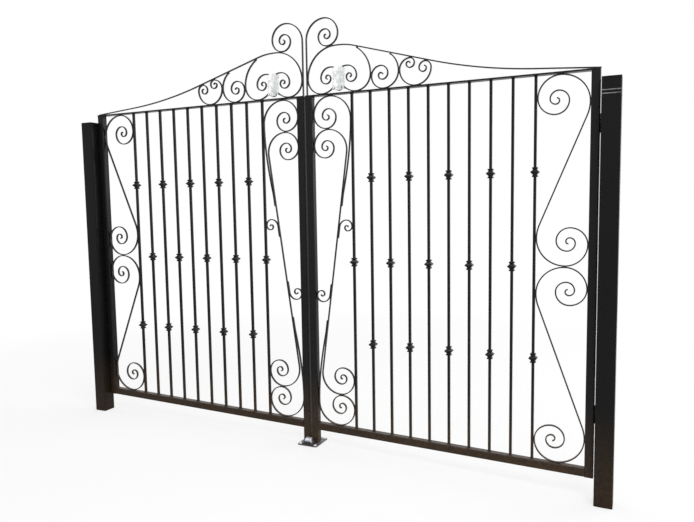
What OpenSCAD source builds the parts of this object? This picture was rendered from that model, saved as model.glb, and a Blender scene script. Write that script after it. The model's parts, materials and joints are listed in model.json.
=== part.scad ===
// Pair of wrought iron driveway gates with scrolled crowns, hung between two steel posts.
// The model is in millimetres. Each leaf is drawn on its own axes: u runs outwards from the
// meeting line, z is the height above the underside of the bottom rail at the meeting line.

/* [Leaf frame] */
// Width of one leaf over its stiles
leaf_w = 1493; // [1300:1:1700]
// Height from the underside of the bottom rail to the top of the top bar
leaf_h = 1854; // [1700:1:2000]
// Gap between the two meeting stiles
meeting_gap = 13; // [8:1:20]
// Side of the square tube of the stiles
stile_w = 40; // [34:1:46]
// Height of the bottom rail
rail_h = 40; // [34:1:46]
// Wall of the stiles and the bottom rail
tube_wall = 3; // [2:0.5:4]
// Thickness of the flat bar that closes the top
top_bar_t = 8; // [6:1:12]
// Height of the solid cap under the top bar on a meeting stile
cap_h = 14; // [8:1:20]
// How far that cap stands proud of the stile
cap_lip = 1; // [0.5:0.5:2]
// Fall of the drive and the bottom rails from left to right, as a share of the length
drive_fall = 0.025; // [0:0.005:0.03]

/* [Square bars] */
// Number of upright bars in a leaf
bar_count = 10; // [8:2:12]
// Side of the square bars
bar_w = 13; // [12:0.5:16]
// Clear width of the scroll panel beside the meeting stile
meeting_panel = 224; // [215:1:240]
// Clear width of the scroll panel beside the hinge stile
hinge_panel = 236; // [225:1:250]

/* [Knuckles] */
// Height of the lower row of knuckles
low_row_z = 512; // [450:1:600]
// Height of the middle row of knuckles
mid_row_z = 954; // [900:1:1000]
// Height of the upper row of knuckles
top_row_z = 1403; // [1300:1:1480]
// Height of a knuckle
knuckle_h = 46; // [36:1:56]
// Side of its end rings
knuckle_ring_w = 26; // [20:1:30]
// Side of its pointed middle
knuckle_mid_w = 40; // [32:1:46]

/* [Scroll bars] */
// Thickness of the flat scroll bar
scroll_t = 6; // [4:0.5:8]
// Width of the flat scroll bar, front to back
scroll_w = 12; // [10:1:16]
// Each quarter turn of a scroll has this share of the radius before it
tighten = 0.78; // [0.74:0.01:0.82]
// The last three quarter turns of a scroll each keep only this share beyond that
eye_tighten = 0.86; // [0.8:0.01:1]
// Quarter turns in a large scroll
scroll_quarters = 9; // [6:1:10]
// Quarter turns in a small scroll
curl_quarters = 6; // [4:1:7]
// Gap left for the weld where a scroll touches its neighbour
seat = 0.2; // [0.1:0.1:0.3]

/* [Scroll panels] */
// Height of the line where the two scrolls of the hinge panel touch
scroll_mid_z = 959; // [900:1:1000]
// Width of the scroll that ends the long bar of the meeting panel
inner_scroll_w = 199; // [185:1:210]
// Distance from the panel's centre to the foot of a branch scroll
branch_start = 320; // [280:1:360]
// Length of the branch that lies against the long bar
branch_lap = 60; // [40:1:80]
// Distance from the panel's centre to where the higher small curl leaves the long bar
high_curl_start = 206; // [160:1:240]
// Distance from the panel's centre to where the lower small curl leaves the long bar
low_curl_start = 176; // [160:1:240]

/* [Crown] */
// Distance from the leaf's edge to the upright of the finial scroll
finial_inset = 2.5; // [1:0.5:6]
// Width of the finial scroll
finial_w = 194; // [180:1:205]
// Width of the ring
ring_w = 372; // [350:1:390]
// Height of the ring above the top bar
ring_h = 252; // [245:1:265]
// Radius of the ring's shoulders
ring_shoulder_r = 163; // [155:1:168]
// Radius where a ring bar turns into its lyre curl
lyre_top_r = 39; // [36:1:42]
// Nearly flat stretch at the top of a lyre curl
lyre_flat = 8; // [4:1:10]
// Radius of the outer side of a lyre curl
lyre_side_r = 54; // [50:1:56]
// Angle on the shoulder where the second ring bar leaves the swan neck
fork_angle = 58; // [55:1:60]
// Radius where the swan neck leaves the ring
neck_top_r = 330; // [300:10:360]
// Slope of the straight stretch of the swan neck, in degrees
neck_slope = 16; // [15:0.25:17]
// Radius of the long hollow stretch of the swan neck
neck_hollow_r = 2540; // [2300:20:2800]
// Slope at which the swan neck lands on the top bar, in degrees
neck_landing = 4.5; // [4:0.25:5]
// Width of the round scroll beside the ring
round_scroll_w = 154; // [145:1:160]
// Width of the double ended scroll under the swan neck
twin_scroll_w = 172; // [160:1:180]
// Radius of the first turn of the twin scroll's higher curl
high_curl_r = 24; // [22:1:27]
// Radius of the first turn of the twin scroll's lower curl
low_curl_r = 31; // [28:1:33]

/* [Crown wrap] */
// Width of the cloth wrap
wrap_w = 76; // [66:1:96]
// Depth of the cloth wrap, front to back
wrap_d = 30; // [24:1:40]
// Height of the wrap's lower edge above the top bar
wrap_low = 14; // [12:1:30]
// Height of the wrap's upper edge above the top bar
wrap_high = 136; // [120:1:140]
// Clearance between the wrap and the bars in it
wrap_gap = 0.5; // [0.3:0.1:0.8]

/* [Posts] */
// Side of the square post
post_w = 83; // [75:1:100]
// Wall of the post
post_wall = 4; // [3:0.5:6]
// How far the post's front stands before the middle of the leaf
post_front = 72.5; // [40:0.5:80]
// How far the post's top is below the top of the leaf
post_drop = 48; // [20:1:150]
// Thickness of the plate on the post's top
post_cap_t = 5; // [3:1:8]
// Thickness of the plate that closes the post's foot
post_foot_t = 8; // [5:1:12]
// Gap between the hinge stile and the post
post_gap = 6; // [5:0.5:20]
// Height of the bottom rail above the drive at the meeting line
ground_gap = 84; // [75:1:120]
// Height of the middle of the drive above the line between the feet of the posts
drive_crown = 25; // [0:1:40]
// How far the middle of the strap is below the top of the right post
strap_drop = 67; // [40:1:200]
// Height of that strap
strap_h = 20; // [15:1:40]
// Thickness of that strap
strap_t = 3; // [2:0.5:6]

/* [Hinges] */
// Radius of the hinge barrel
barrel_r = 10; // [9:0.5:12]
// Height of a whole hinge barrel
barrel_h = 86; // [70:1:100]
// Radius of the hinge pin
pin_r = 6; // [5:0.5:7]
// Running clearance round the pin
pin_gap = 0.05; // [0.02:0.01:0.08]
// Height of the middle of the lower hinge
low_hinge_z = 258; // [220:1:400]
// How far the middle of the upper hinge is below the top of the leaf
high_hinge_drop = 239; // [150:1:350]
// Thickness of a hinge plate
wing_t = 4; // [3:0.5:6]
// Width of a hinge plate
wing_w = 30; // [24:1:36]
// Gap between the two halves of a barrel
barrel_gap = 1; // [0.5:0.25:2]

/* [Centre stop] */
// Width of the stop's base plate
stop_plate_w = 122; // [110:1:140]
// Depth of the stop's base plate
stop_plate_d = 145; // [130:1:160]
// Thickness of the stop's base plate
stop_plate_t = 5; // [4:1:8]
// Width of the top of the stop's block
stop_block_w = 38; // [34:1:42]
// Width of the block above its flange
stop_shoulder_w = 50; // [44:1:56]
// Width of the block's flange
stop_base_w = 76; // [60:1:90]
// Depth of the stop's block
stop_block_d = 38; // [30:1:44]
// Height of the stop's block above its plate
stop_block_h = 32; // [25:1:45]
// Clearance between the block and the closed leaves
stop_gap = 5; // [5:0.5:8]
// Height of the meeting stiles' feet above the base plate
stile_foot_gap = 6; // [5:1:20]

/* [Hidden] */
RIGHT = 1;
LEFT = -1;
turn_step = 10;
longest_chord = leaf_w / 18;
barrel_facets = 48;
plate_facets = 32;

// Leaf levels and lines, measured outwards from the meeting line
leaf_in = meeting_gap / 2;
leaf_out = leaf_in + leaf_w;
stile_in_face = leaf_in + stile_w;
stile_out_face = leaf_out - stile_w;
first_bar = stile_in_face + meeting_panel + bar_w / 2;
last_bar = stile_out_face - hinge_panel - bar_w / 2;
bar_pitch = (last_bar - first_bar) / (bar_count - 1);
top_under = leaf_h - top_bar_t;
crown_base = leaf_h + seat + scroll_t / 2;

// Posts and hinges
post_top_z = leaf_h - post_drop;
high_hinge_z = leaf_h - high_hinge_drop;
post_in = leaf_out + post_gap;
post_mid = post_in + post_w / 2;
leaf_back = stile_w / 2;
post_y = post_w / 2 - post_front;
post_back = post_w - post_front;
axis_u = leaf_out + post_gap / 2;
axis_y = leaf_back + barrel_r;

// Ground
stop_ground = -ground_gap;
stile_foot_z = stop_ground + stop_plate_t + stile_foot_gap;
right_foot_z = stop_ground - drive_crown - drive_fall * post_mid;
origin = [post_mid, post_y, right_foot_z];

// Shift of the bottom rail at a distance u from the meeting line
function fall(side, u) = -side * drive_fall * u;
function rail_under(side, u) = fall(side, u);
function rail_over(side, u) = rail_h + fall(side, u);

// A path is walked in steps: [length] goes straight on, [radius, angle] turns by the angle,
// to the left if it is positive.
function heading_vec(h) = [cos(h), sin(h)];
function arc_centre(p, h, r, a) = p + r * heading_vec(h + 90 * sign(a));
function arc_point(c, h, r, a, share) = c + r * heading_vec(h - 90 * sign(a) + a * share);
function walk(p, h, steps, i = 0) =
    i == len(steps) ? []
    : len(steps[i]) == 1
        ? let (q = p + steps[i][0] * heading_vec(h)) concat([q], walk(q, h, steps, i + 1))
        : let (
            r = steps[i][0],
            a = steps[i][1],
            c = arc_centre(p, h, r, a),
            n = max(2, ceil(abs(a) / turn_step), ceil(r * abs(a) * PI / 180 / longest_chord))
        )
        concat(
            [for (k = [1:n]) arc_point(c, h, r, a, k / n)],
            walk(arc_point(c, h, r, a, 1), h + a, steps, i + 1)
        );
function path(p, h, steps) = concat([p], walk(p, h, steps));

// Quarter turns that tighten step by step; side is 1 to the left and -1 to the right
function volute(r, side, quarters) = [
    for (k = [0:quarters - 1])
        [r * pow(tighten, k) * pow(eye_tighten, max(0, k - quarters + 4)), 90 * side]
];
function first_radius(width) = (width - scroll_t) / (1 + tighten);

function reversed(pts) = [for (i = [len(pts) - 1:-1:0]) pts[i]];
function about(c, pts) = [for (p = pts) 2 * c - p];
function flipped(z0, pts) = [for (p = pts) [p[0], z0 - p[1]]];

function bezier(a, b, c, d, n = 12) =
    [for (i = [0:n]) let (t = i / n, s = 1 - t)
        s * s * s * a + 3 * s * s * t * b + 3 * s * t * t * c + t * t * t * d];

// Outline of a flat bar bent along a path
function unit(v) = v / norm(v);
function along(pts, i) = unit(pts[min(i + 1, len(pts) - 1)] - pts[max(i - 1, 0)]);
function beside(pts, i, d) = pts[i] + d * [-along(pts, i)[1], along(pts, i)[0]];
function ribbon(pts, t) = concat(
    [for (i = [0:len(pts) - 1]) beside(pts, i, t / 2)],
    [for (i = [len(pts) - 1:-1:0]) beside(pts, i, -t / 2)]
);

module bent_bar(pts, grow = 0) {
    rotate([90, 0, 0])
        linear_extrude(scroll_w + 2 * grow, center = true)
            polygon(ribbon(pts, scroll_t + 2 * grow));
}

// A flat plate drawn in u and z, centred front to back
module plate_uz(outline, depth) {
    rotate([90, 0, 0])
        linear_extrude(depth, center = true)
            polygon(outline);
}

// Puts a piece that is drawn on leaf axes in its place beside the origin
module placed(side) {
    translate(-origin)
        mirror([side == LEFT ? 1 : 0, 0, 0])
            children();
}

// Frame of a leaf
module square_tube(u, z0, z1) {
    translate([u, 0, z0])
        linear_extrude(z1 - z0)
            difference() {
                translate([0, -stile_w / 2]) square(stile_w);
                translate([tube_wall, tube_wall - stile_w / 2]) square(stile_w - 2 * tube_wall);
            }
}

module meeting_stile(side) {
    color("#2b2a2b") placed(side) {
        square_tube(leaf_in, stile_foot_z + tube_wall, top_under - cap_h);
        translate([leaf_in, -stile_w / 2, stile_foot_z]) cube([stile_w, stile_w, tube_wall]);
        translate([leaf_in - cap_lip, -stile_w / 2 - cap_lip, top_under - cap_h])
            cube([stile_w + 2 * cap_lip, stile_w + 2 * cap_lip, cap_h]);
    }
}

module hinge_stile(side) {
    low = rail_under(side, stile_out_face);
    low_out = rail_under(side, leaf_out);
    color("#2b2a2b") placed(side)
        difference() {
            square_tube(stile_out_face, min(low, low_out), top_under);
            plate_uz([
                [stile_out_face - stile_w, rail_under(side, stile_out_face - stile_w)],
                [leaf_out + stile_w, rail_under(side, leaf_out + stile_w)],
                [leaf_out + stile_w, low - stile_w],
                [stile_out_face - stile_w, low - stile_w]
            ], 2 * stile_w);
        }
}

module bottom_rail(side) {
    function slab(inset) = [
        [stile_in_face, rail_under(side, stile_in_face) + inset],
        [stile_out_face, rail_under(side, stile_out_face) + inset],
        [stile_out_face, rail_over(side, stile_out_face) - inset],
        [stile_in_face, rail_over(side, stile_in_face) - inset]
    ];
    color("#2b2a2b") placed(side)
        difference() {
            plate_uz(slab(0), stile_w);
            plate_uz(slab(tube_wall), stile_w - 2 * tube_wall);
        }
}

module top_bar(side) {
    color("#2b2a2b") placed(side)
        translate([leaf_in, -stile_w / 2, top_under]) cube([leaf_w, stile_w, top_bar_t]);
}

module bars(side) {
    color("#2b2a2b") placed(side)
        for (i = [0:bar_count - 1])
            let (u = first_bar + i * bar_pitch, lo = u - bar_w / 2, hi = u + bar_w / 2)
                plate_uz([
                    [lo, rail_over(side, lo)], [hi, rail_over(side, hi)],
                    [hi, top_under], [lo, top_under]
                ], bar_w);
}

// A square knuckle: a ring, a pointed middle and a ring, threaded on a bar
function knuckle_half() = let (r = knuckle_ring_w / 2, h = knuckle_h / 2, m = knuckle_mid_w / 2) [
    [r - 2, h], [r, h - 2], [r, 0.72 * h], [r - 3, 0.64 * h], [r - 2, 0.48 * h],
    [m - 1, 0.12 * h], [m, 0]
];
function knuckle_outline() = let (half = knuckle_half(), low = [for (p = reversed(half)) [p[0], -p[1]]])
    concat(
        half, [for (i = [1:len(low) - 1]) low[i]],
        [for (p = reversed(low)) [-p[0], p[1]]],
        [for (i = [1:len(half) - 1]) let (p = reversed(half)[i]) [-p[0], p[1]]]
    );

module knuckle(u, z) {
    translate([u, 0, z])
        difference() {
            intersection() {
                plate_uz(knuckle_outline(), 2 * knuckle_mid_w);
                rotate([0, 0, 90]) plate_uz(knuckle_outline(), 2 * knuckle_mid_w);
            }
            cube([bar_w, bar_w, 2 * knuckle_h], center = true);
        }
}

module knuckles(side) {
    color("#2b2a2b") placed(side)
        for (i = [0:bar_count - 1])
            for (z = i % 2 == 0 ? [mid_row_z] : [low_row_z, top_row_z])
                knuckle(first_bar + i * bar_pitch, z);
}

// Long S shaped bar: it leaves its centre c, turns up a line u_side and ends in a scroll
// whose outer turn touches the height z_top. The other half is the same turned half round.
function lead(r0) = r0 / tighten;
function s_heading(c, u_side, z_top, r0) =
    let (v = [u_side - lead(r0), z_top - r0] - c)
        atan2(v[1], v[0]) - asin(lead(r0) / norm(v));
function s_straight(c, u_side, z_top, r0) =
    let (v = [u_side - lead(r0), z_top - r0] - c) sqrt(v * v - lead(r0) * lead(r0));
function s_half(c, u_side, z_top, r0, quarters) =
    let (h = s_heading(c, u_side, z_top, r0))
        walk(c, h, concat(
            [[s_straight(c, u_side, z_top, r0)], [lead(r0), 90 - h]],
            volute(r0, 1, quarters)
        ));
function s_bar(c, u_side, z_top, r0, quarters) =
    let (half = s_half(c, u_side, z_top, r0, quarters))
        concat(reversed(about(c, half)), half);

// Meeting panel. Its two halves are alike, turned about the panel's centre.
panel_r = first_radius(meeting_panel - 2 * seat);
panel_left = stile_in_face + seat + scroll_t / 2;
panel_right = first_bar - bar_w / 2 - seat - scroll_t / 2;
function panel_bottom(side) = rail_over(side, panel_left + panel_r);
function panel_centre(side) = [(panel_left + panel_right) / 2, (top_under + panel_bottom(side)) / 2];
panel_top = top_under - seat - scroll_t / 2;
inner_r = first_radius(inner_scroll_w);
inner_right = panel_left + inner_scroll_w - scroll_t;
inner_top = panel_top - panel_r * tighten * (1 + tighten) - scroll_t - seat;
function long_heading(side) = s_heading(panel_centre(side), inner_right, inner_top, inner_r);

// Point beside the long bar, at a distance along it from the panel's centre
function beside_long(side, s) =
    let (h = long_heading(side))
        panel_centre(side) + s * heading_vec(h) + (scroll_t + seat) * [sin(h), -cos(h)];

function branch_path(side) =
    let (
        h = long_heading(side),
        a = beside_long(side, branch_start),
        b = beside_long(side, branch_start + branch_lap),
        e = [panel_right, panel_top - panel_r],
        reach = norm(e - b) / 3
    )
    concat(
        [a],
        bezier(b, b + reach * heading_vec(h - 4), e - [0, reach], e),
        walk(e, 90, volute(panel_r, 1, scroll_quarters))
    );

function curl_path(side, start) =
    let (
        h = long_heading(side),
        a = beside_long(side, start - branch_lap),
        b = beside_long(side, start),
        r = (panel_right - b[0]) / (sin(h) + tighten)
    )
    concat([a, b], walk(b, h, concat([[r, -h]], volute(r * tighten, -1, curl_quarters - 1))));

module long_scroll(side) {
    color("#343233") placed(side)
        bent_bar(s_bar(panel_centre(side), inner_right, inner_top, inner_r, scroll_quarters));
}

module branch_scrolls(side) {
    color("#343233") placed(side) {
        bent_bar(branch_path(side));
        bent_bar(about(panel_centre(side), branch_path(side)));
    }
}

module small_curls(side) {
    color("#343233") placed(side) {
        bent_bar(curl_path(side, high_curl_start));
        bent_bar(about(panel_centre(side), curl_path(side, low_curl_start)));
    }
}

// Hinge panel: one S over another, which is its mirror image
hinge_r = first_radius(hinge_panel - 2 * seat);
hinge_left = last_bar + bar_w / 2 + seat + scroll_t / 2;
hinge_right = stile_out_face - seat - scroll_t / 2;
function s_path(low, high) =
    let (c = [(hinge_left + hinge_right) / 2, (low + high) / 2])
        s_bar(c, hinge_right, high - seat - scroll_t / 2, hinge_r, scroll_quarters);

module upper_scroll(side) {
    color("#343233") placed(side) bent_bar(s_path(scroll_mid_z, top_under));
}

module lower_scroll(side) {
    low = rail_over(side, hinge_right - hinge_r);
    color("#343233") placed(side)
        bent_bar(flipped(low + scroll_mid_z, s_path(low, scroll_mid_z)));
}

// Crown: ring and lyre
finial_u = leaf_in + finial_inset + scroll_t / 2;
ring_left = finial_u + scroll_t + seat;
ring_mid = ring_left + (ring_w - scroll_t) / 2;
ring_right = ring_left + ring_w - scroll_t;
ring_top = crown_base + ring_h - scroll_t;
shoulder_flat = ring_mid - ring_left - ring_shoulder_r;
ring_low_r = ring_h - scroll_t - ring_shoulder_r;
lyre_stem_r = ring_mid - scroll_t / 2 - seat / 2 - ring_left - ring_low_r;
lyre_curl_r = lyre_side_r * 0.58;
ring_steps = [
    [shoulder_flat], [ring_shoulder_r, 90], [ring_low_r, 90], [lyre_stem_r, 90],
    [lyre_top_r, 90], [lyre_flat], [lyre_side_r, 90], [lyre_curl_r, 90],
    [lyre_curl_r * 0.86, 90], [lyre_curl_r * 0.56, 90], [lyre_curl_r * 0.36, 90],
    [lyre_curl_r * 0.27, 90]
];
function ring_half() = path([ring_mid, ring_top], 180, ring_steps);
function second_half() =
    let (
        c = [ring_mid - shoulder_flat, ring_top - ring_shoulder_r],
        start = c + ring_shoulder_r * heading_vec(180 - fork_angle),
        left = path(start, 270 - fork_angle, concat(
            [[ring_shoulder_r, fork_angle]],
            [for (i = [2:len(ring_steps) - 1]) ring_steps[i]]
        ))
    )
    [for (p = left) [2 * ring_mid - p[0], p[1]]];

// Swan neck: the two straight lengths are worked out so that it lands on the top bar
neck_end = [leaf_out, crown_base];
neck_run = neck_end[0] - ring_mid;
neck_drop = ring_top - neck_end[1];
neck_bend_run = neck_top_r * sin(neck_slope)
    + neck_hollow_r * (sin(neck_slope) - sin(neck_landing));
neck_bend_drop = neck_top_r * (1 - cos(neck_slope))
    + neck_hollow_r * (cos(neck_landing) - cos(neck_slope));
left_run = neck_run - neck_bend_run;
left_drop = neck_drop - neck_bend_drop;
neck_turn = sin(neck_slope - neck_landing);
neck_first = (left_drop * cos(neck_landing) - left_run * sin(neck_landing)) / neck_turn;
neck_last = (left_run * sin(neck_slope) - left_drop * cos(neck_slope)) / neck_turn;
function neck_path() = walk([ring_mid, ring_top], 0, [
    [neck_top_r, -neck_slope], [neck_first],
    [neck_hollow_r, neck_slope - neck_landing], [neck_last]
]);

// A point on the straight stretch, and the distance of any point below that line
neck_point = [ring_mid + neck_top_r * sin(neck_slope),
    ring_top - neck_top_r * (1 - cos(neck_slope))];
function below_neck(p) =
    (neck_point[1] - p[1]) * cos(neck_slope) - (p[0] - neck_point[0]) * sin(neck_slope);
touch = scroll_t + seat;

module swan_neck(side) {
    color("#343233") placed(side) bent_bar(concat(reversed(neck_path()), ring_half()));
}

module lyre_bar(side) {
    color("#343233") placed(side) bent_bar(second_half());
}

// Finial scroll: its lower turn rests on the ring's shoulder
finial_r = first_radius(finial_w);
finial_turn_r = finial_r * tighten * tighten;
finial_turn_u = finial_u + finial_w - scroll_t - finial_turn_r;
shoulder_c = [ring_mid - shoulder_flat, ring_top - ring_shoulder_r];
finial_turn_z = shoulder_c[1]
    + sqrt(pow(ring_shoulder_r + finial_turn_r + touch, 2) - pow(finial_turn_u - shoulder_c[0], 2));
finial_top = finial_turn_z + finial_r * tighten;

module finial_scroll(side) {
    color("#343233") placed(side)
        bent_bar(path([finial_u, leaf_h], 90, concat(
            [[finial_top - finial_r - leaf_h]],
            volute(finial_r, -1, scroll_quarters)
        )));
}

// Round scroll between the ring and the twin scroll; its tail runs up to the swan neck
round_r = first_radius(round_scroll_w);
round_left = ring_right + touch;
round_right = round_left + round_scroll_w - scroll_t;
round_start = [round_right, crown_base + round_r];
function tail_end(a) = arc_point(arc_centre(round_start, 90, lead(round_r), 1),
    90, lead(round_r), a, 1);
function tail_corner(a) = tail_end(a) + scroll_t / 2 * heading_vec(a);
tail_angle = max([for (a = [5:0.25:80]) if (below_neck(tail_corner(a)) > scroll_t / 2 + seat) a]);
function round_path() = concat(
    reversed(walk(round_start, 90, [[lead(round_r), tail_angle]])),
    path(round_start, -90, volute(round_r, -1, scroll_quarters - 1))
);

module round_scroll(side) {
    color("#343233") placed(side) bent_bar(round_path());
}

// Twin scroll: both curls rise to the swan neck
twin_r = (twin_scroll_w - scroll_t) / 2;
twin_left = round_right + touch;
twin_mid = twin_left + twin_r;
twin_right = twin_mid + twin_r;
twin_z = crown_base + twin_r;
high_top_r = (below_neck([twin_left, twin_z]) + high_curl_r * cos(neck_slope) - high_curl_r - touch)
    / (cos(neck_slope) + sin(neck_slope));
low_top_r = (below_neck([twin_right, twin_z]) - touch) / (1 - sin(neck_slope));
high_curl_shares = [1, 1, 0.78, 0.48, 0.34];
low_curl_shares = [1, 0.65, 0.57, 0.35];
function curl_in(r, shares, side) = [for (share = shares) [r * share, 90 * side]];
function twin_path() = concat(
    reversed(walk([twin_mid, crown_base], 180, concat(
        [[twin_r, -90], [high_top_r, -90]], curl_in(high_curl_r, high_curl_shares, -1)))),
    path([twin_mid, crown_base], 0, concat(
        [[twin_r, 90], [low_top_r, 90]], curl_in(low_curl_r, low_curl_shares, 1)))
);

module twin_scroll(side) {
    color("#343233") placed(side) bent_bar(twin_path());
}

// Cloth wrapped round the middle of the lyre
module rounded_slab(w, d, r) {
    for (u = [-1, 1])
        for (v = [-1, 1])
            translate([u * (w / 2 - r), v * (d / 2 - r)]) circle(r, $fn = plate_facets);
    square([w - 2 * r, d], center = true);
    square([w, d - 2 * r], center = true);
}

module crown_wrap(side) {
    color("#f2f3f2") placed(side)
        difference() {
            translate([ring_mid, 0, leaf_h + wrap_low])
                linear_extrude(wrap_high - wrap_low)
                    rounded_slab(wrap_w, wrap_d, wrap_d / 3);
            bent_bar(ring_half(), wrap_gap);
            bent_bar(second_half(), wrap_gap);
        }
}

// Posts
function foot_z(side) = stop_ground - drive_crown + fall(side, post_mid);

module post(side) {
    color("#262627") placed(side)
        translate([post_mid, post_y, foot_z(side)])
            difference() {
                translate([-post_w / 2, -post_w / 2, 0])
                    cube([post_w, post_w, post_top_z - post_cap_t - foot_z(side)]);
                translate([post_wall - post_w / 2, post_wall - post_w / 2, post_foot_t])
                    cube([post_w - 2 * post_wall, post_w - 2 * post_wall, post_top_z + ground_gap]);
            }
}

module post_cap(side) {
    color("#262627") placed(side)
        translate([post_in, post_y - post_w / 2, post_top_z - post_cap_t])
            cube([post_w, post_w, post_cap_t]);
}

module post_strap() {
    color("#8b8d8f") placed(RIGHT)
        translate([post_in, post_y - post_w / 2 - strap_t, post_top_z - strap_drop - strap_h / 2])
            cube([post_w, strap_t, strap_h]);
}

// Hinges: the post carries the lower half of each barrel and its pin. A packing block fills
// the step between the back of the post and the back of the leaf.
half_h = (barrel_h - barrel_gap) / 2;
packing_inset = 4;

module barrel(z0) {
    translate([axis_u, axis_y, z0]) cylinder(r = barrel_r, h = half_h, $fn = barrel_facets);
}

module post_hinges(side) {
    color("#1f1f20") placed(side)
        for (z = [low_hinge_z, high_hinge_z])
            let (z0 = z - barrel_h / 2) {
                barrel(z0);
                translate([axis_u, axis_y, z0])
                    cylinder(r = pin_r, h = barrel_h - barrel_gap, $fn = barrel_facets);
                translate([axis_u, leaf_back, z0]) cube([post_gap / 2 + wing_w, wing_t, half_h]);
                translate([post_in + packing_inset, post_back, z0])
                    cube([wing_w - packing_inset, leaf_back - post_back + wing_t, half_h]);
            }
}

module leaf_hinges(side) {
    color("#1f1f20") placed(side)
        for (z = [low_hinge_z, high_hinge_z])
            let (z0 = z - barrel_h / 2 + half_h + barrel_gap)
                difference() {
                    union() {
                        barrel(z0);
                        translate([axis_u - post_gap / 2 - wing_w, leaf_back, z0])
                            cube([post_gap / 2 + wing_w, wing_t, half_h]);
                    }
                    translate([axis_u, axis_y, z0 - half_h])
                        cylinder(r = pin_r + pin_gap, h = 3 * half_h, $fn = barrel_facets);
                }
}

// Centre stop on the drive
module stop_plate() {
    color("#3a3a3c") placed(RIGHT)
        translate([-stop_plate_w / 2, -stop_plate_d / 2, stop_ground])
            cube([stop_plate_w, stop_plate_d, stop_plate_t]);
}

stop_round = stop_block_h * 0.82;
stop_flange_h = stop_block_h * 0.16;
module stop_block() {
    half_top = stop_block_w / 2;
    half_shoulder = stop_shoulder_w / 2;
    half_base = stop_base_w / 2;
    color("#5a5b5e") placed(RIGHT)
        translate([0, -stile_w / 2 - stop_gap, stop_ground + stop_plate_t])
            intersection() {
                rotate([90, 0, 90])
                    linear_extrude(stop_base_w, center = true)
                        polygon(concat(
                            [[-stop_block_d, 0], [0, 0], [0, stop_block_h]],
                            [for (a = [0:15:90])
                                [stop_round - stop_block_d - stop_round * sin(a),
                                 stop_block_h - stop_round + stop_round * cos(a)]]
                        ));
                plate_uz([
                    [-half_base, 0], [half_base, 0], [half_base, stop_flange_h],
                    [half_shoulder, stop_flange_h], [half_top, stop_block_h],
                    [-half_top, stop_block_h], [-half_shoulder, stop_flange_h],
                    [-half_base, stop_flange_h]
                ], 3 * stop_block_d);
            }
}

post(RIGHT);  // right_post
post(LEFT);  // left_post
post_cap(RIGHT);  // right_post_cap
post_cap(LEFT);  // left_post_cap
post_strap();
post_hinges(RIGHT);  // right_post_hinges
post_hinges(LEFT);  // left_post_hinges
stop_plate();
stop_block();
hinge_stile(RIGHT);  // right_hinge_stile
meeting_stile(RIGHT);  // right_meeting_stile
bottom_rail(RIGHT);  // right_bottom_rail
top_bar(RIGHT);  // right_top_bar
bars(RIGHT);  // right_bars
knuckles(RIGHT);  // right_knuckles
leaf_hinges(RIGHT);  // right_leaf_hinges
long_scroll(RIGHT);  // right_long_scroll
branch_scrolls(RIGHT);  // right_branch_scrolls
small_curls(RIGHT);  // right_small_curls
upper_scroll(RIGHT);  // right_upper_scroll
lower_scroll(RIGHT);  // right_lower_scroll
finial_scroll(RIGHT);  // right_finial_scroll
swan_neck(RIGHT);  // right_swan_neck
lyre_bar(RIGHT);  // right_lyre_bar
round_scroll(RIGHT);  // right_round_scroll
twin_scroll(RIGHT);  // right_twin_scroll
crown_wrap(RIGHT);  // right_crown_wrap
hinge_stile(LEFT);  // left_hinge_stile
meeting_stile(LEFT);  // left_meeting_stile
bottom_rail(LEFT);  // left_bottom_rail
top_bar(LEFT);  // left_top_bar
bars(LEFT);  // left_bars
knuckles(LEFT);  // left_knuckles
leaf_hinges(LEFT);  // left_leaf_hinges
long_scroll(LEFT);  // left_long_scroll
branch_scrolls(LEFT);  // left_branch_scrolls
small_curls(LEFT);  // left_small_curls
upper_scroll(LEFT);  // left_upper_scroll
lower_scroll(LEFT);  // left_lower_scroll
finial_scroll(LEFT);  // left_finial_scroll
swan_neck(LEFT);  // left_swan_neck
lyre_bar(LEFT);  // left_lyre_bar
round_scroll(LEFT);  // left_round_scroll
twin_scroll(LEFT);  // left_twin_scroll
crown_wrap(LEFT);  // left_crown_wrap
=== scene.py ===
"""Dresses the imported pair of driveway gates: painted ironwork, forged scrolls, cast knuckles and cloth wraps."""

import json
import logging
import math
from dataclasses import dataclass
from enum import Enum
from typing import Callable, Sequence

import bmesh
import bpy
from bmesh.types import BMEdge, BMesh, BMFace, BMVert
from bpy.types import Material, NodeSocket, Object
from mathutils import Matrix, Vector, noise


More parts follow.
